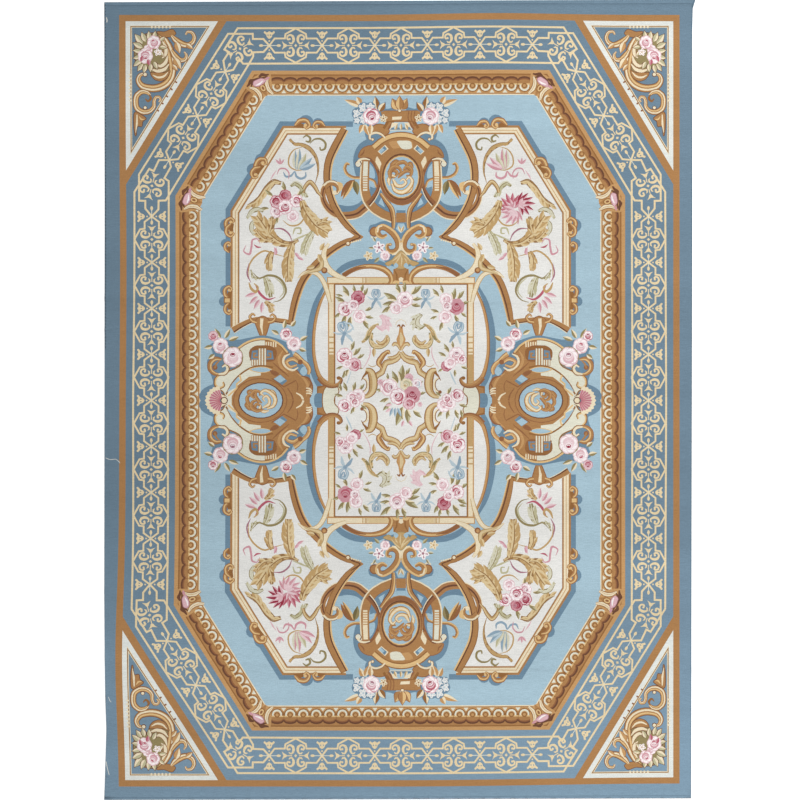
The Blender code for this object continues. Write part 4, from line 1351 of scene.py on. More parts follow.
def draw_corner_ornament():
    """Roses over an open scroll, with plumes and a hanging leaf, in the top left corner panel."""
    outlined([(-262, 362), (-256, 366), (-249, 367.6), (-241, 367), (-234.6, 360), (-232.6, 350),
              (-231, 338), (-231, 327), (-240, 322), (-247, 326), (-251, 332), (-258, 333),
              (-264, 340), (-265, 350)], BROWN, OLIVE, 0.7)
    bowl = [(-255, 327), (-259.4, 325.6), (-261.4, 320.6), (-258.4, 315.2), (-250.6, 312.4), (-241, 313),
            (-232.8, 317.6), (-228.2, 325), (-227.4, 334), (-229, 345), (-231.6, 354), (-236, 362),
            (-241.4, 368)]
    chart.ribbon(bowl, (3, 5, 7, 8, 8.4, 8.4, 8, 7.6, 8.6, 9.6, 8.6, 6.6, 3), STRANDS)
    chart.disc(-254.6, 326, 2.5, BROWN)
    chart.disc(-254.6, 326.2, 1.8, CREAM)
    outlined([(-243, 369), (-236, 368.8), (-227, 371), (-224.4, 367.4), (-230, 364), (-237.6, 364.4)],
             BROWN, GOLD, 0.6)
    outlined([(-249, 327.6), (-246, 322), (-239.6, 319.6), (-233, 323), (-230.4, 330.6), (-235, 328),
              (-242, 327.6)], BROWN, GOLD, 0.6)
    chart.stroke([(-247, 325.6), (-242, 323.2), (-236, 324.4), (-232, 328.6)], (0.8, 2, 2, 0.6), CREAM)
    for route in ([(-249, 331.6), (-242.6, 329.6), (-236, 331), (-231, 336.6)],
                  [(-244, 336.4), (-239.4, 334.6), (-234.6, 338), (-232.4, 345)],
                  [(-238, 342.6), (-235, 345), (-234, 352), (-237.6, 360)]):
        chart.stroke(route, (1.4, 4.4, 4.4, 1.4), BROWN_RED)
        chart.stroke(route, (0.8, 3.2, 3.2, 0.8), CREAM)
    chart.ribbon([(-228.6, 365.4), (-224.6, 360.8), (-219, 357), (-212.6, 355.6), (-207.4, 358.8),
                  (-206, 364),
                  (-208.6, 368.4), (-213, 368.8), (-214.6, 366)], (3, 6.4, 7.4, 6.6, 5.4, 4.8, 4, 3.2, 2),
                  STRANDS)
    chart.ribbon([(-229, 351), (-224.4, 344), (-219.4, 340.4), (-215, 341.4), (-213.8, 345.6),
                  (-216, 349)],
                 (3, 6.4, 6.4, 5, 3.8, 1.6), STRANDS)
    leaves = (
        (-257, 357, -264.6, 366.6), (-254, 359, -258, 368.4), (-250, 360, -251, 369.6),
        (-246, 361, -244.4, 369.8), (-257, 353, -266.4, 358), (-258, 349, -266.6, 350.6),
        (-258, 344, -266.6, 342.6), (-258, 341, -266, 334.6), (-257, 337, -262, 329.6),
        (-254, 336, -256, 327.6), (-249, 337, -249.6, 328.6), (-246, 339, -242.6, 331.6),
        (-240, 360, -235, 364), (-240, 354, -233, 353), (-241, 350, -236, 344.6),
        (-224, 359, -220.4, 347.6), (-214, 357, -207.4, 351.8), (-226, 343, -219.4, 331.6),
        (-227.6, 336, -222.6, 330),
    )
    for x, y, tip_x, tip_y in leaves:
        length = math.hypot(tip_x - x, tip_y - y)
        with chart.at(x, y, math.degrees(math.atan2(tip_y - y, tip_x - x))):
            leaf(length, length * 0.5, CREAM, SAGE if x < -230 else GOLD_MID, 0,
                 BROWN if x < -245 else BROWN_RED)
    lower = [(-249.4, 305.4), (-253, 308.4), (-258.4, 308.8), (-262.8, 305), (-264, 298.4), (-262.4, 292),
             (-257, 288.6), (-250.4, 289.2), (-246, 293.8), (-245.6, 300), (-243.8, 303.4),
             (-240.6, 303.4),
             (-239.4, 300.4), (-241.2, 298.6)]
    chart.ribbon(lower, (2.6, 4.8, 5.6, 6, 6, 6, 6, 5.8, 5.2, 4.6, 4, 3.6, 3, 2), STRANDS)
    chart.stroke([(-250.4, 306), (-249, 302), (-252, 299.4), (-254.4, 302)], (1.2, 2.6, 2.2, 1),
                 GOLD_DEEP)
    chart.disc(-254.6, 292.6, 2.3, BROWN)
    chart.disc(-254.6, 292.8, 1.6, CREAM)
    outlined([(-263.6, 288.4), (-259, 286), (-253.8, 281.6), (-257, 279.4), (-258.4, 274),
              (-261.4, 274.6),
              (-264, 264.6), (-265.6, 275)], BROWN, GOLD, 0.7)
    chart.stroke([(-262.6, 286), (-262.8, 277), (-264, 268)], (1, 2, 0.5), CREAM)
    chart.stroke([(-260.6, 284), (-258, 281), (-255.4, 281.2)], (0.8, 1.6, 0.6), GOLD_LIGHT)
    with chart.at(-251.6, 351.6, 120):
        rose(5, 0, MAUVE_ROSE)
    with chart.at(-246, 358.6, 30):
        rose(7.2, 0, (PETAL, BLUSH_DEEP, PINK, ROSE))
    with chart.at(-254.4, 344.6, 190):
        rose(8, 0, (PETAL, BLUSH, PINK, ROSE))
    for x, y, turn in ((-256.6, 345, 250), (-251.6, 341.6, 280)):
        with chart.at(x, y, turn):
            leaf(6.6, 4, PINK, ROSE)
    with chart.at(-242, 348.6, 90):
        small_flower(4, PETAL, OCHRE_MID)


def carnation(petals, deep):
    """A feathery flower head with its petals fanned out to one side."""
    for turn, length in ((-70, 13), (-46, 15), (-22, 16), (2, 17), (26, 16), (50, 15), (74, 12)):
        with chart.at(0, 0, turn):
            leaf(length, 5, petals, deep, 1)
    for turn, length in ((-50, 8), (-18, 10), (14, 10), (46, 8)):
        with chart.at(0, 0, turn):
            leaf(length, 3.4, BLUSH, petals)


def tendril(route, width, paint):
    """A thin stem that tapers to both ends."""
    chart.ribbon(route, (0.5, width, width * 0.9, 0.5), ((-1, 1, paint),), fine=0.07)


def draw_panel_flora(main, second, accent, warm):
    """The scrolling flowers on an ivory panel, in the top left quarter.

    The first tones are of its large leaves, the second of its smaller ones and
    the accent of its bell flower and tendrils. Warm panels carry carnations.
    """
    pale, _, dark = main
    acanthus([(-85.6, 217), (-82.6, 227), (-82.4, 236), (-85.4, 246), (-91.8, 253.6), (-100, 257),
              (-106.6, 257.6), (-110.6, 262)], 8.6, (OCHRE_MID, OCHRE_MID, dark), 9, 26, 1, (0.1, 0.3,
                                                                                             0.7, 1, 0.9,
                                                                                             0.4))
    for route in ([(-98, 262.6), (-94.6, 265), (-90.6, 262), (-92, 258.6), (-95.4, 259.6)],
                  [(-91, 257), (-87, 261), (-80, 261.4), (-75.4, 257), (-76.6, 251.4), (-80.4, 250.6),
                   (-81, 253.6)]):
        chart.stroke(route, (0.8, 1.8, 2.2, 2.2, 1.2), OLIVE, fine=0.08)
    tendril([(-99, 253.4), (-107, 250.6), (-112, 242.6), (-111.6, 234.6), (-106, 230.6), (-96, 230.6)],
            1.6, main[1])
    for x, y, turn, length in ((-105, 230.6, 100, 20), (-104, 230.6, 78, 22), (-103, 230.6, 58, 19),
                               (-102, 231, 36, 18), (-101, 231, 14, 17)):
        with chart.at(x, y, turn):
            leaf(length, 5.4, SAGE_PALE if turn > 50 else accent[0], accent[1] if turn != 58 else SAGE,
                 2 if turn < 90 else -3)
    chart.stroke([(-117.6, 228.6), (-115, 224), (-110, 224.6), (-106.2, 228.8), (-104.4, 224),
                  (-100, 221.8),
                  (-95.4, 224), (-95.2, 228.4)], (0.6, 2, 2.2, 1.2, 2.2, 2.4, 2.2, 0.8), accent[1],
                  fine=0.08)
    tendril([(-130.4, 220.6), (-128, 225), (-124.6, 230)], 1.6, BLUSH_DEEP)
    tendril([(-124, 226), (-121, 231.6), (-116, 231.8), (-112, 227.6), (-112.4, 221.4)], 1.6, PINK)
    for turn in (50, 90, 130):
        with chart.at(-121, 236, turn):
            leaf(7, 2.4, BLUSH_DEEP, PINK)
    acanthus([(-119.6, 218), (-126, 219.4), (-133, 214.6), (-139.6, 206.6), (-145.6, 198.6),
              (-153.6, 195)], 12, main,
             7, 30, 1, (0.5, 0.9, 1, 0.9, 0.5))
    tendril([(-119, 218.6), (-127, 221), (-135, 214.6), (-143, 203), (-153.6, 195.4)], 1.5, dark)
    acanthus([(-111, 215), (-106, 218.6), (-100, 215.6), (-96, 209), (-92.6, 203.6)], 10, second, 5, 36,
             -1)
    stem = [(-98, 207.6), (-95.6, 214), (-91, 218.4), (-86.4, 214), (-83, 208), (-78.6, 203)]
    tones = ((-1, 1, dark), (-0.5, 0.7, main[1]), (0, 0.5, pale))
    chart.ribbon(stem, (2.6, 4, 4.6, 4.4, 3.4, 1), tones, fine=0.08)
    acanthus([(-137, 189.6), (-142.6, 192.4), (-149.4, 190.4), (-154.6, 182.6)], 9, second, 5, 30, 1)
    acanthus([(-145, 181.6), (-149.8, 177), (-150.4, 170.6), (-147.2, 164.8)], 9, second, 4, 34, 1)
    if warm:
        with chart.at(-112, 192, 60):
            carnation(PINK, ROSE)
        with chart.at(-118, 196, 172):
            carnation(BLUSH_DEEP, CRIMSON)
        with chart.at(-114, 190, -60):
            carnation(BLUSH, PINK)
    else:
        posy(((-108, 184.6, 4.8, PALE_ROSE), (-124.6, 189, 5, MAUVE_ROSE), (-104.6, 199.4, 5.2,
                                                                            PINK_ROSE),
              (-124.6, 198.6, 5.2, (BLUSH, ROSE, CRIMSON, CRIMSON)), (-115.6, 205, 4.8,
                                                                      (PINK, ROSE, CRIMSON, MAUVE)),
              (-115.6, 193.6, 5.8, PINK_ROSE)),
             ((-128, 204, 140, 8), (-132, 192, 180, 7), (-122, 184, 240, 8),
              (-102, 190, -20, 8), (-116, 208, 100, 9), (-104, 205, 40, 8)))
    stem = [(-102.4, 160.4), (-109, 157), (-118, 156.8), (-127, 161.6), (-133.6, 168.4), (-138.6, 176),
            (-144.6, 184.6)]
    acanthus(stem, 14, main, 7, 34, 0, (0.2, 0.5, 1, 1, 0.6))
    acanthus([(-132, 166), (-129.6, 174), (-128.8, 184)], 8, main, 4, 34)
    acanthus([(-128, 161), (-136, 161), (-142, 166), (-146, 171.6)], 8, main, 4, 34)
    tendril([(-127.4, 171.7), (-119, 171.6), (-112, 166.4), (-108.8, 159)], 1.8, MAUVE)
    tendril([(-155, 155), (-157, 149), (-151.6, 146.2), (-149.4, 153.6), (-148, 160.8), (-143.6, 161.6),
             (-141, 157)],
            2.2, PINK)
    tendril([(-147, 156), (-143.6, 153.4), (-139.6, 153.2)], 1.8, ROSE)
    acanthus([(-108.6, 157), (-110.6, 150), (-112.4, 140), (-112.8, 130), (-112.2, 118.6)], 13, main, 6,
             34, 0)
    acanthus([(-128.6, 149), (-131.6, 142), (-131, 129.6)], 9, main, 4, 26)
    tendril([(-152, 123.8), (-151.6, 135), (-145.4, 144.4), (-136, 149.6), (-127, 146.6), (-117, 144)],
            1.9, main[1])
    tendril([(-150, 118), (-153.6, 126), (-152, 137)], 1.6, MAUVE)
    for x, y, turn in ((-126, 145, 80), (-124, 146, 110), (-106, 148, -50), (-104, 144, -30)):
        with chart.at(x, y, turn):
            leaf(8, 3, BLUSH_DEEP, PINK)
    acanthus([(-136, 123.6), (-133, 117), (-131.4, 110), (-130, 103)], 9.6, second, 5, 34)
    acanthus([(-149.6, 131), (-146.6, 124), (-139.6, 122.4)], 5, second, 4, 36, -1)
    tendril([(-148, 128), (-142, 122.4), (-133, 125), (-124.6, 123.8), (-117, 117), (-115, 108.6),
             (-120.6, 100.4), (-128, 98.2)], 2.4, OLIVE)
    tendril([(-126, 122.6), (-118.6, 116), (-117, 108.6), (-121.6, 102.6)], 1.6, SAGE)
    tendril([(-145.6, 116), (-140, 105.8), (-133, 101), (-125.4, 103)], 2.6, ROSE)
    chart.stroke([(-152, 118), (-149, 111), (-145, 108.6), (-143, 113), (-147, 117)], (1, 2.6, 2.8, 2, 1),
                 OCHRE_MID)
    for x, y, turn in ((-145, 107, 196), (-143, 104, 222), (-141, 101, 238), (-138, 98.6, 262),
                       (-134, 99, -46)):
        with chart.at(x, y, turn):
            leaf(11.6, 4.2, BLUSH, PINK)
    acanthus([(-136, 99), (-131, 95), (-129.6, 87.6)], 6.6, main, 4, 34)
    acanthus([(-99, 200), (-96.4, 192), (-91.6, 184), (-84.6, 175.6), (-72.6, 167.6)], 14, main, 7, 36, 0,
             (0.4, 0.9, 1, 0.9, 0.5))
    tendril([(-118, 180), (-111, 175), (-103, 175.6), (-96, 184), (-94.6, 194)], 1.7, main[1])
    acanthus([(-84, 176), (-77, 178.6), (-71.6, 177)], 8, main, 3, 34)
    acanthus([(-88, 169), (-92, 162), (-95, 155), (-97, 146.6)], 10, second, 5, 30, 0)
    tendril([(-109, 160), (-101, 163), (-91, 167.6)], 2.2, SAGE)
    chart.stroke([(-108, 166), (-105.6, 172), (-100.6, 172), (-100.6, 167), (-104, 167)], (0.8, 1.8, 2,
                                                                                           1.8, 0.8),
                 SAGE)


draw_ground()
draw_edges()
draw_corner_grounds()
draw_fretwork()
draw_moulding()
SAGE_LEAF = (SAGE_PALE, SAGE, OLIVE)
OCHRE_LEAF = (OCHRE_LIGHT, OCHRE_MID, LEAF_BROWN)
BLUE_BELL = (RIBBON, RIBBON_DEEP)
PINK_BELL = (BLUSH, PINK)
for sx, sy in QUADRANTS:
    with chart.mirrored(sx, sy):
        draw_corner_ornament()
        draw_panel_frame()
        if sx * sy < 0:
            draw_panel_flora(OCHRE_LEAF, SAGE_LEAF, BLUE_BELL, False)
        else:
            draw_panel_flora(OCHRE_LEAF, SAGE_LEAF, PINK_BELL, True)
draw_centre_ground()
draw_side_knots()
for sx, sy in QUADRANTS:
    with chart.mirrored(sx, sy):
        draw_corner_ties()
draw_cartouche()
draw_bouquet()
for turn in (0, 180):
    with chart.at(0, 0, turn):
        draw_side_medallion()
        draw_side_roses()
        draw_garland()
WARM_ROSE = (PETAL, BLUSH_DEEP, ROSE, CRIMSON)
COOL_ROSE = (PETAL, BLUSH, PINK, MAUVE)
for turn in (0, 180):
    with chart.at(0, 0, turn):
        draw_end_medallion()
        draw_rose_bunch(WARM_ROSE, 1)
        with chart.mirrored(1, 1):
            draw_rose_bunch(COOL_ROSE, -1)


# The rug's cloth

# One chart square and the design's middle on the rug, then the cloth's size, in metres.
SQUARE = 0.00458
DESIGN_MIDDLE = Vector((0.0046, -0.0041))
RUG_FLAT = (2.690, 3.655)
CLOTH = 0.0040
HEM_EXTRA = 0.0015
# The hem's depth, the slope beside it, the rounding of the edges and the step of the
# cloth's grid, in squares.
HEM_DEPTH = 3.93
HEM_SLOPE = 0.4
EDGE_ROUND = 0.35
GRID_STEP = 8.0
# The columns and rows of the underside's grid.
UNDER_GRID = (24, 32)

# Fold lines from storage, as on the solid: share of the length at the left edge,
# the same at the right edge, height of the ridge, half of its width.
CREASES = (
    (0.372, 0.378, 0.0020, 0.020),
    (0.412, 0.418, 0.0020, 0.020),
    (0.738, 0.736, 0.0015, 0.020),
    (0.824, 0.838, 0.0030, 0.022),
)


def edge_of_solid(side):
    """The solid's edge on one long side: pairs of y and x, from the bottom end to the top."""
    rows = {}
    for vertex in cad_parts["rug"].data.vertices:
        if vertex.co.x * side > CAD_BOX[1].x * 0.97:
            rows[round(vertex.co.y, 5)] = vertex.co.x
    return sorted(rows.items())


LEFT_EDGE = edge_of_solid(-1)
RIGHT_EDGE = edge_of_solid(1)


def read_between(table, place):
    """The value of a two-column table at a place, on straight lines between its rows."""
    if place <= table[0][0]:
        return table[0][1]
    for (low, value_low), (high, value_high) in zip(table, table[1:]):
        if place <= high:
            return mix(value_low, value_high, (place - low) / (high - low))
    return table[-1][1]


def ease(share):
    share = min(1.0, max(0.0, share))
    return share * share * (3 - 2 * share)


def bell(place, middle, width):
    return math.exp(-(((place - middle) / width) ** 2))


# How far the outer bands bow on the rug, in squares: both sides to the left, the left bands
# in above the middle and out near the lower corner, the top up at its right, the bottom up.
SIDE_BOW = 1.7
LEFT_STRAIGHT = 1.0
LEFT_BOW = 1.6
LEFT_BULGE = 2.5
TOP_BOW = 1.9
TOP_DROP = 0.5
BOTTOM_BOW = 3.0
MOST_OUT = 1.1


def on_rug(x, y):
    """Where a point of the chart lies on the rug, in metres.

    The outer bands bow a little, and the border ends at the rug's edge.
    """
    out_x = min((abs(x) / GUARD_HALF[0]) ** 3, MOST_OUT)
    out_y = min((abs(y) / GUARD_HALF[1]) ** 4, MOST_OUT)
    bowed_x = x - SIDE_BOW * out_x
    if x < 0:
        bowed_x += LEFT_STRAIGHT * bell(y, 130.0, 110.0) * out_x
        bowed_x -= LEFT_BOW * bell(y, -225.0, 80.0) * out_x
        bowed_x -= LEFT_BULGE * bell(y, -275.0, 75.0) * out_x
    bowed_y = y
    if y > 0:
        bowed_y += (TOP_BOW * bell(x, 95.0, 80.0) - TOP_DROP) * out_y
    else:
        bowed_y += BOTTOM_BOW * ease(x / 280.0) * out_y
    place = DESIGN_MIDDLE + SQUARE * Vector((bowed_x, bowed_y))
    end = 1 if y > 0 else -1
    corner_left, corner_right = (LEFT_EDGE[-1], RIGHT_EDGE[-1]) if end > 0 else (LEFT_EDGE[0], RIGHT_EDGE[0])
    across = (x + RUG_HALF[0]) / (2 * RUG_HALF[0])
    end_y = mix(corner_left[0], corner_right[0], across)
    share_y = (abs(y) - GUARD_HALF[1]) / (RUG_HALF[1] - GUARD_HALF[1])
    if share_y > 0:
        from_y = place.y - SQUARE * (y - end * GUARD_HALF[1])
        place.y = mix(from_y, end_y, share_y)
    edge_x = read_between(LEFT_EDGE if x < 0 else RIGHT_EDGE, place.y)
    share_x = (abs(x) - GUARD_HALF[0]) / (RUG_HALF[0] - GUARD_HALF[0])
    if share_x > 0:
        side = 1 if x > 0 else -1
        from_x = place.x - SQUARE * (x - side * GUARD_HALF[0])
        place.x = mix(from_x, edge_x, share_x)
    return place


def crease_lift(x, y):
    """How far the folds lift the cloth here, from the chart's x and y."""
    across = (x + RUG_HALF[0]) / (2 * RUG_HALF[0])
    down = (RUG_HALF[1] - y) / (2 * RUG_HALF[1])
    lift = 0.0
    for left, right, height, half in CREASES:
        away = (down - mix(left, right, across)) * RUG_FLAT[1] / half
        if abs(away) < 1:
            lift += height * (1 - away * away) ** 2
    return lift


def face_height(x, y):
    """The height of the rug's upper face over the floor."""
    hem = ease((abs(y) - RUG_HALF[1] + HEM_DEPTH + HEM_SLOPE) / HEM_SLOPE)
    waves = 0.00014 * math.sin(x * 0.031 + 1.3) * math.sin(y * 0.023)
    waves += 0.00010 * math.sin(x * 0.083 - y * 0.051)
    rim = min(RUG_HALF[0] - abs(x), RUG_HALF[1] - abs(y)) / EDGE_ROUND
    thickness = CLOTH + HEM_EXTRA * hem + waves * ease(rim / 30)
    if rim < 0.5:
        thickness *= 0.66
    return crease_lift(x, y) + thickness


# How close two points of the map may be before they become one, how far a line of
# colour may stray from its outline when its needless points are dropped, and the longest
# straight piece of a line, so that it bows with the cloth beside it.
MAP_FINE = 0.03
LINE_FINE = 0.12
LONGEST_PIECE = 14.0


def flat_map(points, edges):
    """The triangles between these points, with every edge kept: the map's corners and its triangles."""
    made = delaunay_2d_cdt([Vector(p) for p in points], edges, [], 0, MAP_FINE, False)
    return [tuple(corner) for corner in made[0]], made[2]


def outline_map():
    """The flat map of every outline, also where later shapes lie over it."""
    points = []
    edges = []
    for outline in chart.outlines:
        first = len(points)
        points.extend(outline)
        edges += [(i, i + 1) for i in range(first, len(points) - 1)] + [(len(points) - 1, first)]
    return flat_map(points, edges)


def colour_edges(triangles, shapes):
    """The edges of a map between triangles of different paints."""
    number = {}
    tones = np.array([number.setdefault(paint, len(number)) for paint in chart.paints])[shapes]
    corners = np.array(triangles)
    edges = np.concatenate([corners[:, [0, 1]], corners[:, [1, 2]], corners[:, [2, 0]]])
    edges.sort(axis=1)
    owners = np.tile(np.arange(len(corners)), 3)
    order = np.lexsort((edges[:, 1], edges[:, 0]))
    edges, owners = edges[order], owners[order]
    shared = np.flatnonzero((edges[1:] == edges[:-1]).all(axis=1))
    differ = tones[owners[shared]] != tones[owners[shared + 1]]
    return edges[shared[differ]].tolist()


def colour_lines(edges):
    """The edges joined end to end into lines, which meet only at their ends."""
    near = {}
    for a, b in edges:
        near.setdefault(a, []).append(b)
        near.setdefault(b, []).append(a)
    lines = []
    done = set()
    for start in sorted(near, key=lambda corner: len(near[corner]) == 2):
        for step in near[start]:
            if (start, step) in done:
                continue
            line = [start, step]
            done |= {(start, step), (step, start)}
            while len(near[line[-1]]) == 2 and line[-1] != start:
                ahead = near[line[-1]][0] if near[line[-1]][1] == line[-2] else near[line[-1]][1]
                done |= {(line[-1], ahead), (ahead, line[-1])}
                line.append(ahead)
            lines.append(line)
    return lines


def grid_points():
    """Points spread over the rug so that the cloth can bend, closer along its edges, hems and folds."""
    half_x, half_y = RUG_HALF
    columns = round(2 * half_x / GRID_STEP)
    rows = round(2 * half_y / GRID_STEP)
    points = []
    for j in range(rows + 1):
        y = mix(-half_y, half_y, j / rows)
        for i in range(columns + 1):
            inner = 0 < i < columns and 0 < j < rows
            shift = GRID_STEP / 3 if inner and j % 2 else 0.0
            points.append((mix(-half_x, half_x, i / columns) + shift, y))
    for inset in (EDGE_ROUND, HEM_DEPTH, HEM_DEPTH + HEM_SLOPE):
        for i in range(columns + 1):
            x = mix(-half_x + EDGE_ROUND, half_x - EDGE_ROUND, i / columns)
            points += [(x, half_y - inset), (x, inset - half_y)]
    for j in range(rows + 1):
        y = mix(-half_y + EDGE_ROUND, half_y - EDGE_ROUND, j / rows)
        points += [(half_x - EDGE_ROUND, y), (EDGE_ROUND - half_x, y)]
    for left, right, _, half in CREASES:
        for k in range(-4, 5):
            for i in range(1, columns):
                down = mix(left, right, i / columns) + k / 4 * half / RUG_FLAT[1]
                points.append((mix(-half_x, half_x, i / columns), mix(half_y, -half_y, down)))
    return points


def split_long(places):
    """The line with points added on its long straight pieces."""
    made = places[:1]
    for start, end in zip(places, places[1:]):
        count = math.ceil(math.dist(start, end) / LONGEST_PIECE)
        for k in range(1, count):
            made.append((mix(start[0], end[0], k / count), mix(start[1], end[1], k / count)))
        made.append(end)
    return made


def woven_map():
    """The flat map of the rug's face: its corners, its triangles and each triangle's topmost shape."""
    corners, triangles = outline_map()
    lines = colour_lines(colour_edges(triangles, topmost_shapes(corners, triangles)))
    points = []
    index = {}
    edges = []
    for line in lines:
        half = len(line) // 2
        places = [corners[i] for i in line]
        if line[0] == line[-1]:
            places = thinned(places[: half + 1], LINE_FINE)[:-1] + thinned(places[half:], LINE_FINE)
        else:
            places = thinned(places, LINE_FINE)
        places = split_long(places)
        for place in places:
            if place not in index:
                index[place] = len(points)
                points.append(place)
        edges += [(index[a], index[b]) for a, b in zip(places, places[1:])]
    corners, triangles = flat_map(points + grid_points(), edges)
    return corners, triangles, topmost_shapes(corners, triangles)


# The size of the squares that the map's triangles are sorted into.
MAP_CELL = 8.0


def topmost_shapes(corners, triangles):
    """For each triangle, the last drawn outline that holds its middle."""
    corners = np.array(corners)
    middles = corners[np.array(triangles)].mean(axis=1)
    cells = ((middles + RUG_HALF) // MAP_CELL).astype(int)
    columns = int(2 * RUG_HALF[0] // MAP_CELL) + 2
    code = cells[:, 1] * columns + cells[:, 0]
    order = np.argsort(code, kind="stable")
    code = code[order]
    shapes = np.zeros(len(middles), dtype=int)
    for number, outline in enumerate(chart.outlines):
        shape = np.array(outline)
        low = ((shape.min(axis=0) + RUG_HALF) // MAP_CELL).astype(int).clip(0)
        high = ((shape.max(axis=0) + RUG_HALF) // MAP_CELL).astype(int).clip(0)
        rows = np.arange(low[1], high[1] + 1) * columns
        starts = np.searchsorted(code, rows + low[0], "left")
        ends = np.searchsorted(code, rows + high[0], "right")
        near = np.concatenate([order[a:b] for a, b in zip(starts, ends)])
        x, y = middles[near, 0], middles[near, 1]
        inside = np.zeros(len(near), dtype=bool)
        for (x0, y0), (x1, y1) in zip(outline, outline[1:] + outline[:1]):
            if y0 != y1:
                inside ^= ((y0 > y) != (y1 > y)) & (x < (x1 - x0) * (y - y0) / (y1 - y0) + x0)
        shapes[near[inside]] = number
    return shapes.tolist()


def wool_light(colour):
    """A screen colour as the linear colour of the wool under this scene's light."""
    made = []
    for value in colour:
        value /= 255
        value = value / 12.92 if value <= 0.04045 else ((value + 0.055) / 1.055) ** 2.4
        made.append(min(1.0, value / LIGHT_LEVEL))
    return made


# How bright a white cloth is under this scene's light.
LIGHT_LEVEL = 1.34


# How much of the painted light gradient over the rug, which slate takes in full, the other wool colours
# take.
PAINTED_LIGHT_SHARE = 0.35


def painted_light_level(x, y):
    """Painted light on the wool here, standing in for light stronger from the lower right: darkest at the
    rug's left side, palest along its bottom end.
    """
    across = x / RUG_HALF[0]
    return 0.90 + 0.05 * across + (0.46 + 0.10 * across) * ease((-y - 60.0) / 340.0)


# How far to each side the face's slope is read.
SLOPE_STEP = 0.25


def face_normal(x, y):
    """The direction that the rug's upper face looks in."""
    for half, place, axis in ((RUG_HALF[0], x, 0), (RUG_HALF[1], y, 1)):
        if half - abs(place) < EDGE_ROUND / 2:
            out = [0.0, 0.0, 0.7]
            out[axis] = math.copysign(1.0, place)
            return Vector(out).normalized()
    x = min(max(x, SLOPE_STEP + EDGE_ROUND - RUG_HALF[0]), RUG_HALF[0] - SLOPE_STEP - EDGE_ROUND)
    y = min(max(y, SLOPE_STEP + EDGE_ROUND - RUG_HALF[1]), RUG_HALF[1] - SLOPE_STEP - EDGE_ROUND)
    span = 2 * SLOPE_STEP * SQUARE
    slope_x = (face_height(x + SLOPE_STEP, y) - face_height(x - SLOPE_STEP, y)) / span
    slope_y = (face_height(x, y + SLOPE_STEP) - face_height(x, y - SLOPE_STEP)) / span
    return Vector((-slope_x, -slope_y, 1.0)).normalized()


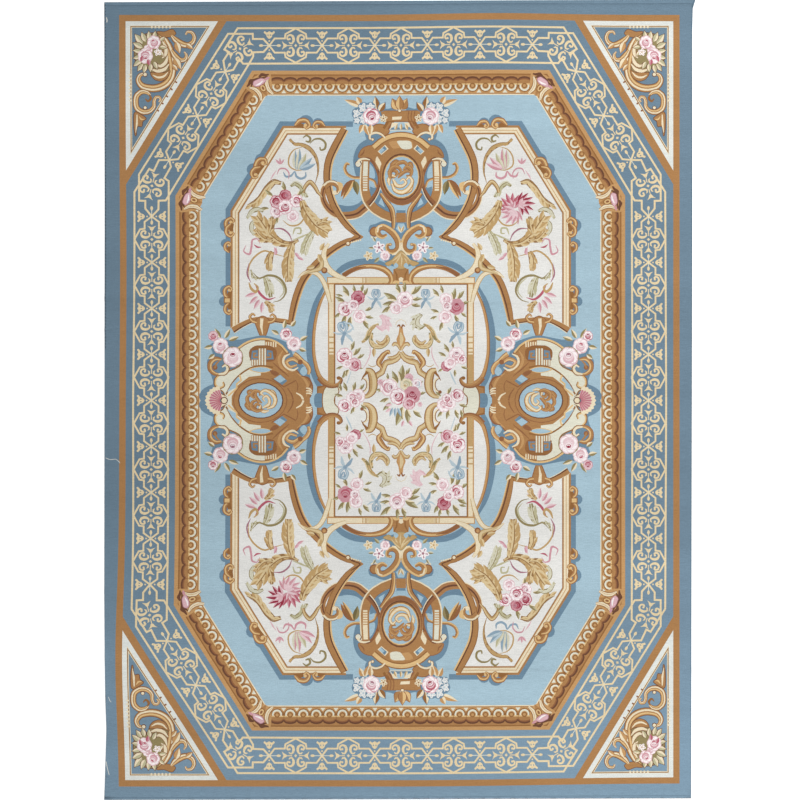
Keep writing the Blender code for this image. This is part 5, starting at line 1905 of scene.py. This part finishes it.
def make_rug():
    """The rug: the woven map as its upper face, a plain underside and a low rounded edge between them."""
    corners, triangles, sources = woven_map()
    places = [on_rug(x, y) for x, y in corners]
    vertices = [(p.x, p.y, face_height(x, y)) for p, (x, y) in zip(places, corners)]
    loops = {}
    for triangle in triangles:
        for a, b in zip(triangle, triangle[1:] + triangle[:1]):
            loops[a, b] = True
    rim = [(a, b) for a, b in loops if (b, a) not in loops]
    under = {a: len(vertices) + i for i, (a, _) in enumerate(rim)}
    for a, _ in rim:
        vertices.append((places[a].x, places[a].y, crease_lift(*corners[a])))
    faces = [tuple(t) for t in triangles]
    faces += [(b, a, under[a], under[b]) for a, b in rim]
    follow = dict(rim)
    loop = [rim[0][0]]
    while follow[loop[-1]] != loop[0]:
        loop.append(follow[loop[-1]])
    flat = [Vector(corners[a]) for a in loop]
    columns, rows = UNDER_GRID
    inner = []
    for j in range(1, rows):
        for i in range(1, columns):
            inner.append((mix(-RUG_HALF[0], RUG_HALF[0], i / columns), mix(-RUG_HALF[1], RUG_HALF[1],
                                                                           j / rows)))
    for left, right, _, half in CREASES:
        for k in (-1.0, -0.5, 0.0, 0.5, 1.0):
            for i in range(1, columns):
                down = mix(left, right, i / columns) + k * half / RUG_FLAT[1]
                inner.append((mix(-RUG_HALF[0], RUG_HALF[0], i / columns), mix(RUG_HALF[1], -RUG_HALF[1],
                                                                               down)))
    made = delaunay_2d_cdt(flat + [Vector(p) for p in inner], [], [list(range(len(flat)))], 1, 1e-4, True)
    base_faces = []
    index = {}
    for i, (corner, source) in enumerate(zip(made[0], made[3])):
        on_rim = [s for s in source if s < len(flat)]
        if on_rim:
            index[i] = under[loop[on_rim[0]]]
        else:
            place = on_rug(*corner)
            index[i] = len(vertices)
            vertices.append((place.x, place.y, crease_lift(*corner)))
    for a, b, c in made[2]:
        base_faces.append((index[c], index[b], index[a]))
    mesh = bpy.data.meshes.new("woven_rug")
    mesh.from_pydata(vertices, [], faces + base_faces)
    colours = mesh.color_attributes.new(name="wool", type="FLOAT_COLOR", domain="CORNER")
    values = []
    kept = {}
    # Painted light: each corner's wool colour is scaled darker towards the left side and paler towards the
    # bottom end; slate, the seam and edge shade colour and the stitches take it fully, other colours in
    # part.
    painted_light_levels = [painted_light_level(x, y) for x, y in corners]
    for triangle, source in zip(triangles, sources):
        paint = chart.paints[source]
        if paint not in kept:
            kept[paint] = wool_light(paint)
        share = 1.0 if paint in (SLATE, SEAM_AND_EDGE_SHADE, OVERCAST) else PAINTED_LIGHT_SHARE
        for corner in triangle:
            level = painted_light_levels[corner] ** share
            values.extend([value * level for value in kept[paint]] + [1.0])
    plain = wool_light(SLATE) + [1.0]
    for face in faces[len(triangles):] + base_faces:
        values.extend(plain * len(face))
    colours.data.foreach_set("color", values)
    layer = mesh.uv_layers.new(name="OFBake")
    span = 2 * RUG_HALF[1] * SQUARE * 1.1
    for face_index, polygon in enumerate(mesh.polygons):
        below = face_index >= len(triangles)
        for corner in polygon.loop_indices:
            spot = mesh.vertices[mesh.loops[corner].vertex_index].co
            u, v = spot.x / span + 0.45, spot.y / span + 0.5
            layer.data[corner].uv = (0.985 + 0.01 * u, v) if below else (u, v)
    mesh.shade_smooth()
    normals = [face_normal(x, y) for x, y in corners]
    normals += [Vector((0.0, 0.0, -1.0))] * (len(mesh.vertices) - len(corners))
    mesh.normals_split_custom_set_from_vertices(normals)
    rug = bpy.data.objects.new("woven_rug", mesh)
    bpy.context.scene.collection.objects.link(rug)
    return rug


class Nodes:
    """A short way to add and join shader nodes."""

    def __init__(self, name):
        self.material = bpy.data.materials.new(name)
        self.material.use_nodes = True
        self.tree = self.material.node_tree
        self.shader = self.tree.nodes["Principled BSDF"]

    def add(self, kind, inputs=None, **settings):
        node = self.tree.nodes.new("ShaderNode" + kind)
        for name, value in settings.items():
            setattr(node, name, value)
        for name, value in (inputs or {}).items():
            if isinstance(value, bpy.types.NodeSocket):
                self.tree.links.new(value, node.inputs[name])
            else:
                node.inputs[name].default_value = value
        return node

    def link(self, output, name):
        self.tree.links.new(output, self.shader.inputs[name])


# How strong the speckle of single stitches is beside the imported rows, and the pitch of
# the warp ribs and of the weft rows in metres.
SPECKLE = 1.1
RIB_PITCH = 0.0027
WEFT_PITCH = 0.0011


def wool_material():
    """Weft-faced wool: ribs along the rug, packed rows across them, and yarn that varies a little."""
    wool = Nodes("woven_wool")
    spot = wool.add("TexCoord").outputs["Object"]
    dye = wool.add("VertexColor", layer_name="wool").outputs["Color"]
    rows = wool.add("Mapping", {"Vector": spot, "Scale": (25.0, 420.0, 25.0)}).outputs["Vector"]
    yarn = wool.add("TexNoise", {"Vector": rows, "Scale": 1.0, "Detail": 3.0,
                                 "Roughness": 0.6}).outputs["Fac"]
    bands = wool.add("Mapping", {"Vector": spot, "Scale": (0.35, 5.0, 1.0)}).outputs["Vector"]
    abrash = wool.add("TexNoise", {"Vector": bands, "Scale": 1.0, "Detail": 4.0,
                                   "Roughness": 0.55}).outputs["Fac"]
    patches = wool.add("TexNoise", {"Vector": spot, "Scale": 1.6, "Detail": 2.0}).outputs["Fac"]
    knots = wool.add("Mapping", {"Vector": spot, "Scale": (190.0, 260.0, 25.0)}).outputs["Vector"]
    speckle = wool.add("TexNoise", {"Vector": knots, "Scale": 1.0, "Detail": 2.0,
                                    "Roughness": 0.7}).outputs["Fac"]
    yarn = wool.add("Math", {0: speckle, 1: SPECKLE, 2: yarn}, operation="MULTIPLY_ADD").outputs[0]
    shade = wool.add("MapRange", {"Value": yarn, "From Min": 0.3 + SPECKLE / 2,
                                  "From Max": 0.7 + SPECKLE / 2,
                                  "To Min": 0.88, "To Max": 1.11}).outputs[0]
    tint = wool.add("MapRange", {"Value": abrash, "From Min": 0.3, "From Max": 0.7, "To Min": 0.93,
                                 "To Max": 1.07})
    wear = wool.add("MapRange", {"Value": patches, "From Min": 0.3, "From Max": 0.7, "To Min": 0.97,
                                 "To Max": 1.03})
    both = wool.add("Math", {0: shade, 1: tint.outputs[0]}, operation="MULTIPLY").outputs[0]
    all_three = wool.add("Math", {0: both, 1: wear.outputs[0]}, operation="MULTIPLY").outputs[0]
    colour = wool.add("VectorMath", {0: dye, "Scale": all_three}, operation="SCALE").outputs["Vector"]
    wool.link(colour, "Base Color")
    wobble = wool.add("TexNoise", {"Vector": spot, "Scale": 60.0, "Detail": 1.0}).outputs["Fac"]
    axes = wool.add("SeparateXYZ", {"Vector": spot})
    across = wool.add("Math", {0: axes.outputs["X"], 1: 2 * math.pi / RIB_PITCH},
                      operation="MULTIPLY").outputs[0]
    shift = wool.add("Math", {0: wobble, 1: 2.4}, operation="MULTIPLY").outputs[0]
    phase = wool.add("Math", {0: across, 1: shift}, operation="ADD").outputs[0]
    rib = wool.add("Math", {0: phase}, operation="SINE").outputs[0]
    weft = wool.add("Math", {0: axes.outputs["Y"], 1: 2 * math.pi / WEFT_PITCH},
                    operation="MULTIPLY").outputs[0]
    weft_wave = wool.add("Math", {0: weft}, operation="SINE").outputs[0]
    fibre = wool.add("TexNoise", {"Vector": rows, "Scale": 2.6, "Detail": 2.0}).outputs["Fac"]
    fine = wool.add("Math", {0: weft_wave, 1: 0.25, 2: fibre}, operation="MULTIPLY_ADD").outputs[0]
    height = wool.add("Math", {0: rib, 1: 0.8, 2: fine}, operation="MULTIPLY_ADD").outputs[0]
    bump = wool.add("Bump", {"Height": height, "Strength": 0.55, "Distance": 0.0004}).outputs["Normal"]
    wool.link(bump, "Normal")
    wool.shader.inputs["Roughness"].default_value = 0.95
    wool.shader.inputs["Specular IOR Level"].default_value = 0.12
    wool.shader.inputs["Sheen Weight"].default_value = 0.12
    wool.shader.inputs["Sheen Roughness"].default_value = 0.5
    return wool.material


def make_stage():
    """The pale floor, soft light a little stronger from the top right, and the camera straight above."""
    bpy.ops.mesh.primitive_plane_add(size=24.0, location=(0.0, 0.0, -0.0004))
    floor = bpy.context.object
    floor.name = "floor"
    paper = Nodes("pale_floor")
    paper.shader.inputs["Base Color"].default_value = (0.96, 0.96, 0.96, 1.0)
    paper.shader.inputs["Roughness"].default_value = 0.9
    paper.shader.inputs["Specular IOR Level"].default_value = 0.1
    floor.data.materials.append(paper.material)
    world = bpy.data.worlds.new("studio")
    world.use_nodes = True
    world.node_tree.nodes["Background"].inputs["Color"].default_value = (1.0, 1.0, 1.0, 1.0)
    world.node_tree.nodes["Background"].inputs["Strength"].default_value = 0.86
    bpy.context.scene.world = world
    lamp = bpy.data.lights.new("window", "AREA")
    lamp.shape = "DISK"
    lamp.size = 3.0
    lamp.energy = 560.0
    place = Vector((3.6, 3.2, 7.2))
    holder = bpy.data.objects.new("window", lamp)
    holder.location = place
    holder.rotation_euler = (-place).to_track_quat("-Z", "Y").to_euler()
    bpy.context.scene.collection.objects.link(holder)
    bpy.context.scene.view_settings.view_transform = "Standard"
    camera = bpy.data.cameras.new("above")
    camera.lens = 100.0
    camera.sensor_width = 36.0
    eye = bpy.data.objects.new("above", camera)
    eye.location = (0.0, -0.002, 10.18)
    bpy.context.scene.collection.objects.link(eye)
    bpy.context.scene.camera = eye


rug = make_rug()
rug.data.materials.append(wool_material())
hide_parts("rug")
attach(rug, "root")
make_stage()
